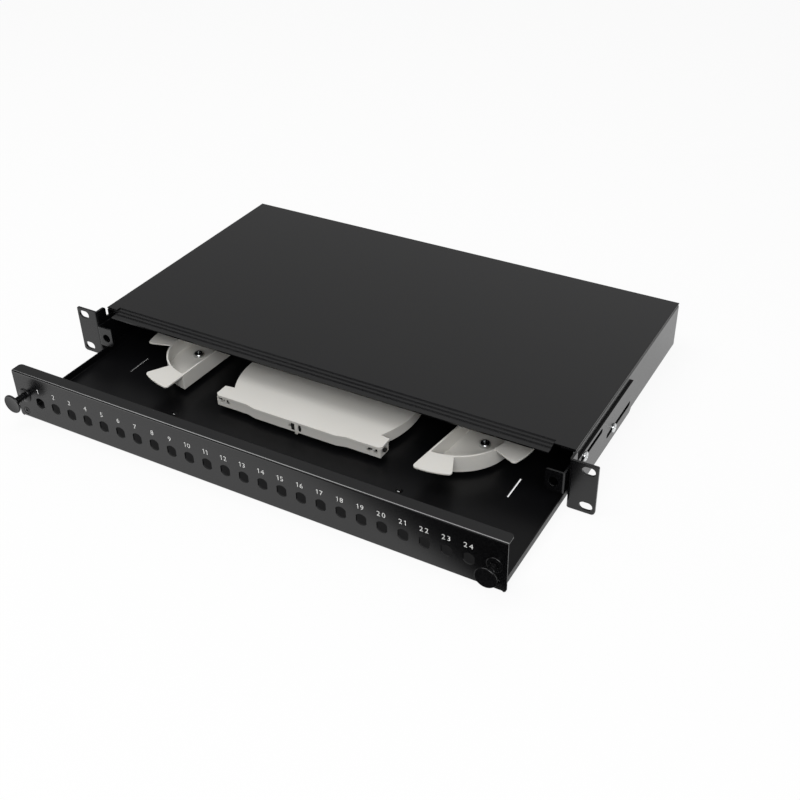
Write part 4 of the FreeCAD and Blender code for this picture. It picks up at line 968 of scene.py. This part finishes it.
# %% [markdown]
# The floor is matt white paper. Through Light Path, what the camera sees of it is mostly a
# white glow, with a share of the real paper left, so that the shadows under the panel stay.
# Mirror rays see a little less of the glow. The lamps' light on the panel stays plain.

# %% Paper
CAMERA_SHARE, MIRROR_SHARE = 0.9, 0.76
floor_paint, tree, output = new_material("white_paper_floor")
paper = add(tree, "ShaderNodeBsdfDiffuse", inputs={"Color": linear("#fafafa")})
glow = add(tree, "ShaderNodeEmission", inputs={"Color": linear("#ffffff"), "Strength": 1.0})
rays = add(tree, "ShaderNodeLightPath")
reflected = add(tree, "ShaderNodeMath", {"operation": "MULTIPLY"}, inputs={1: MIRROR_SHARE},
                links={0: rays.outputs["Is Glossy Ray"]})
share = add(tree, "ShaderNodeMath", {"operation": "MULTIPLY_ADD"}, inputs={1: CAMERA_SHARE},
            links={0: rays.outputs["Is Camera Ray"], 2: reflected.outputs[0]})
lit = add(tree, "ShaderNodeMixShader", links={
    0: share.outputs[0], 1: paper.outputs["BSDF"], 2: glow.outputs["Emission"],
})
print("the camera sees", CAMERA_SHARE, "of the glow, and mirror rays", MIRROR_SHARE)

# %% [markdown]
# In the photograph the right end of the plate mirrors the dim room beyond the paper's front
# edge, and so does the push face there. The floor therefore turns dim for mirror rays
# beyond a slanting edge, with a soft passage from the one to the other.

# %% Paper edge
EDGE_DIRECTION = (0.316, -0.949, 0.0)
PAPER_EDGE, SOFT_WITHIN, SOFT_BEYOND = 163.2 * MM, 18 * MM, 9 * MM
ROOM_GLOW = 0.01
place = add(tree, "ShaderNodeTexCoord").outputs["Object"]
ahead = add(tree, "ShaderNodeVectorMath", {"operation": "DOT_PRODUCT"},
            inputs={1: EDGE_DIRECTION}, links={0: place})
dim = add(tree, "ShaderNodeMapRange", {"interpolation_type": "SMOOTHSTEP"}, inputs={
    "From Min": PAPER_EDGE - SOFT_WITHIN, "From Max": PAPER_EDGE + SOFT_BEYOND,
    "To Min": 0.0, "To Max": 1.0,
}, links={"Value": ahead.outputs["Value"]})
mirrored = add(tree, "ShaderNodeMath", {"operation": "MULTIPLY"},
               links={0: rays.outputs["Is Glossy Ray"], 1: dim.outputs["Result"]})
room = add(tree, "ShaderNodeEmission",
           inputs={"Color": linear("#ffffff"), "Strength": ROOM_GLOW})
surface = add(tree, "ShaderNodeMixShader", links={
    0: mirrored.outputs[0], 1: lit.outputs["Shader"], 2: room.outputs["Emission"],
})
tree.links.new(surface.outputs["Shader"], output.inputs["Surface"])
floor_mesh.materials.append(floor_paint)
print("floor painted with", len(tree.nodes), "nodes")

# %% [markdown]
# ## The room
#
# The room behind the panel is pale and the room in front of it is dim, as in a studio with a
# white sweep, and its left side is a little dimmer than its right. Black coat shows mostly
# what it mirrors: the lid mirrors the sweep and turns charcoal, while the sloping steps of
# its front lip mirror the dim side and stay black. The camera itself sees plain white there.

# %% Room
FRONT_GLOW, BACK_GLOW, FRONT_ENDS, BACK_STARTS = 0.14, 0.50, -0.35, 0.65
LEFT_SHARE, LEFT_ENDS, RIGHT_STARTS = 0.69, -0.62, -0.22
world = bpy.data.worlds.new("studio")
bpy.context.scene.world = world
world.use_nodes = True
tree = world.node_tree
tree.nodes.clear()
rays = add(tree, "ShaderNodeLightPath")
seen = add(tree, "ShaderNodeMath", {"operation": "MAXIMUM"},
           links={0: rays.outputs["Is Camera Ray"], 1: rays.outputs["Is Transmission Ray"]})
towards = add(tree, "ShaderNodeTexCoord").outputs["Generated"]
axes = add(tree, "ShaderNodeSeparateXYZ", links={"Vector": towards})
depth = add(tree, "ShaderNodeMapRange", {"interpolation_type": "SMOOTHSTEP"}, inputs={
    "From Min": FRONT_ENDS, "From Max": BACK_STARTS,
    "To Min": FRONT_GLOW, "To Max": BACK_GLOW,
}, links={"Value": axes.outputs["Y"]})
breadth = add(tree, "ShaderNodeMapRange", inputs={
    "From Min": LEFT_ENDS, "From Max": RIGHT_STARTS, "To Min": LEFT_SHARE, "To Max": 1.0,
}, links={"Value": axes.outputs["X"]})
shade = add(tree, "ShaderNodeMath", {"operation": "MULTIPLY"},
            links={0: depth.outputs["Result"], 1: breadth.outputs["Result"]})
ambient = add(tree, "ShaderNodeBackground", inputs={"Color": linear("#ffffff")},
              links={"Strength": shade.outputs[0]})
backdrop = add(tree, "ShaderNodeBackground",
               inputs={"Color": linear("#ffffff"), "Strength": 1.0})
chosen = add(tree, "ShaderNodeMixShader", links={
    0: seen.outputs[0], 1: ambient.outputs[0], 2: backdrop.outputs[0],
})
add(tree, "ShaderNodeOutputWorld", links={"Surface": chosen.outputs[0]})
print("room built from", len(tree.nodes), "nodes")

# %% [markdown]
# ## The lamps
#
# Two large softboxes light the panel, and their size keeps its shadows soft. One hangs over
# it, to the left. The other stands in front, to the right, high and wide enough that the
# flat lid doesn't mirror it as a glaring patch when the panel is seen from behind.


# %% Lamps
def softbox(name, place, size, power):
    """A rectangular area lamp at a place in metres, turned to face the panel's middle."""
    lamp = bpy.data.lights.new(name, "AREA")
    lamp.shape = "RECTANGLE"
    lamp.size, lamp.size_y = size
    lamp.energy = power
    rig = bpy.data.objects.new(name, lamp)
    gaze = (Vector((0, 0, 0)) - Vector(place)).normalized()
    aim = gaze.to_track_quat("-Z", "Y").to_matrix().to_4x4()
    rig.matrix_world = Matrix.Translation(place) @ aim
    bpy.context.scene.collection.objects.link(rig)
    print(name, "of", power, "watts")


softbox("overhead_softbox", place=(-0.62, -0.15, 1.7), size=(1.1, 1.7), power=15)
softbox("front_softbox", place=(1.05, -1.6, 1.55), size=(1.8, 1.4), power=35)

bpy.context.scene.view_settings.view_transform = "Standard"

# %% [markdown]
#

# %% Closing import
import json
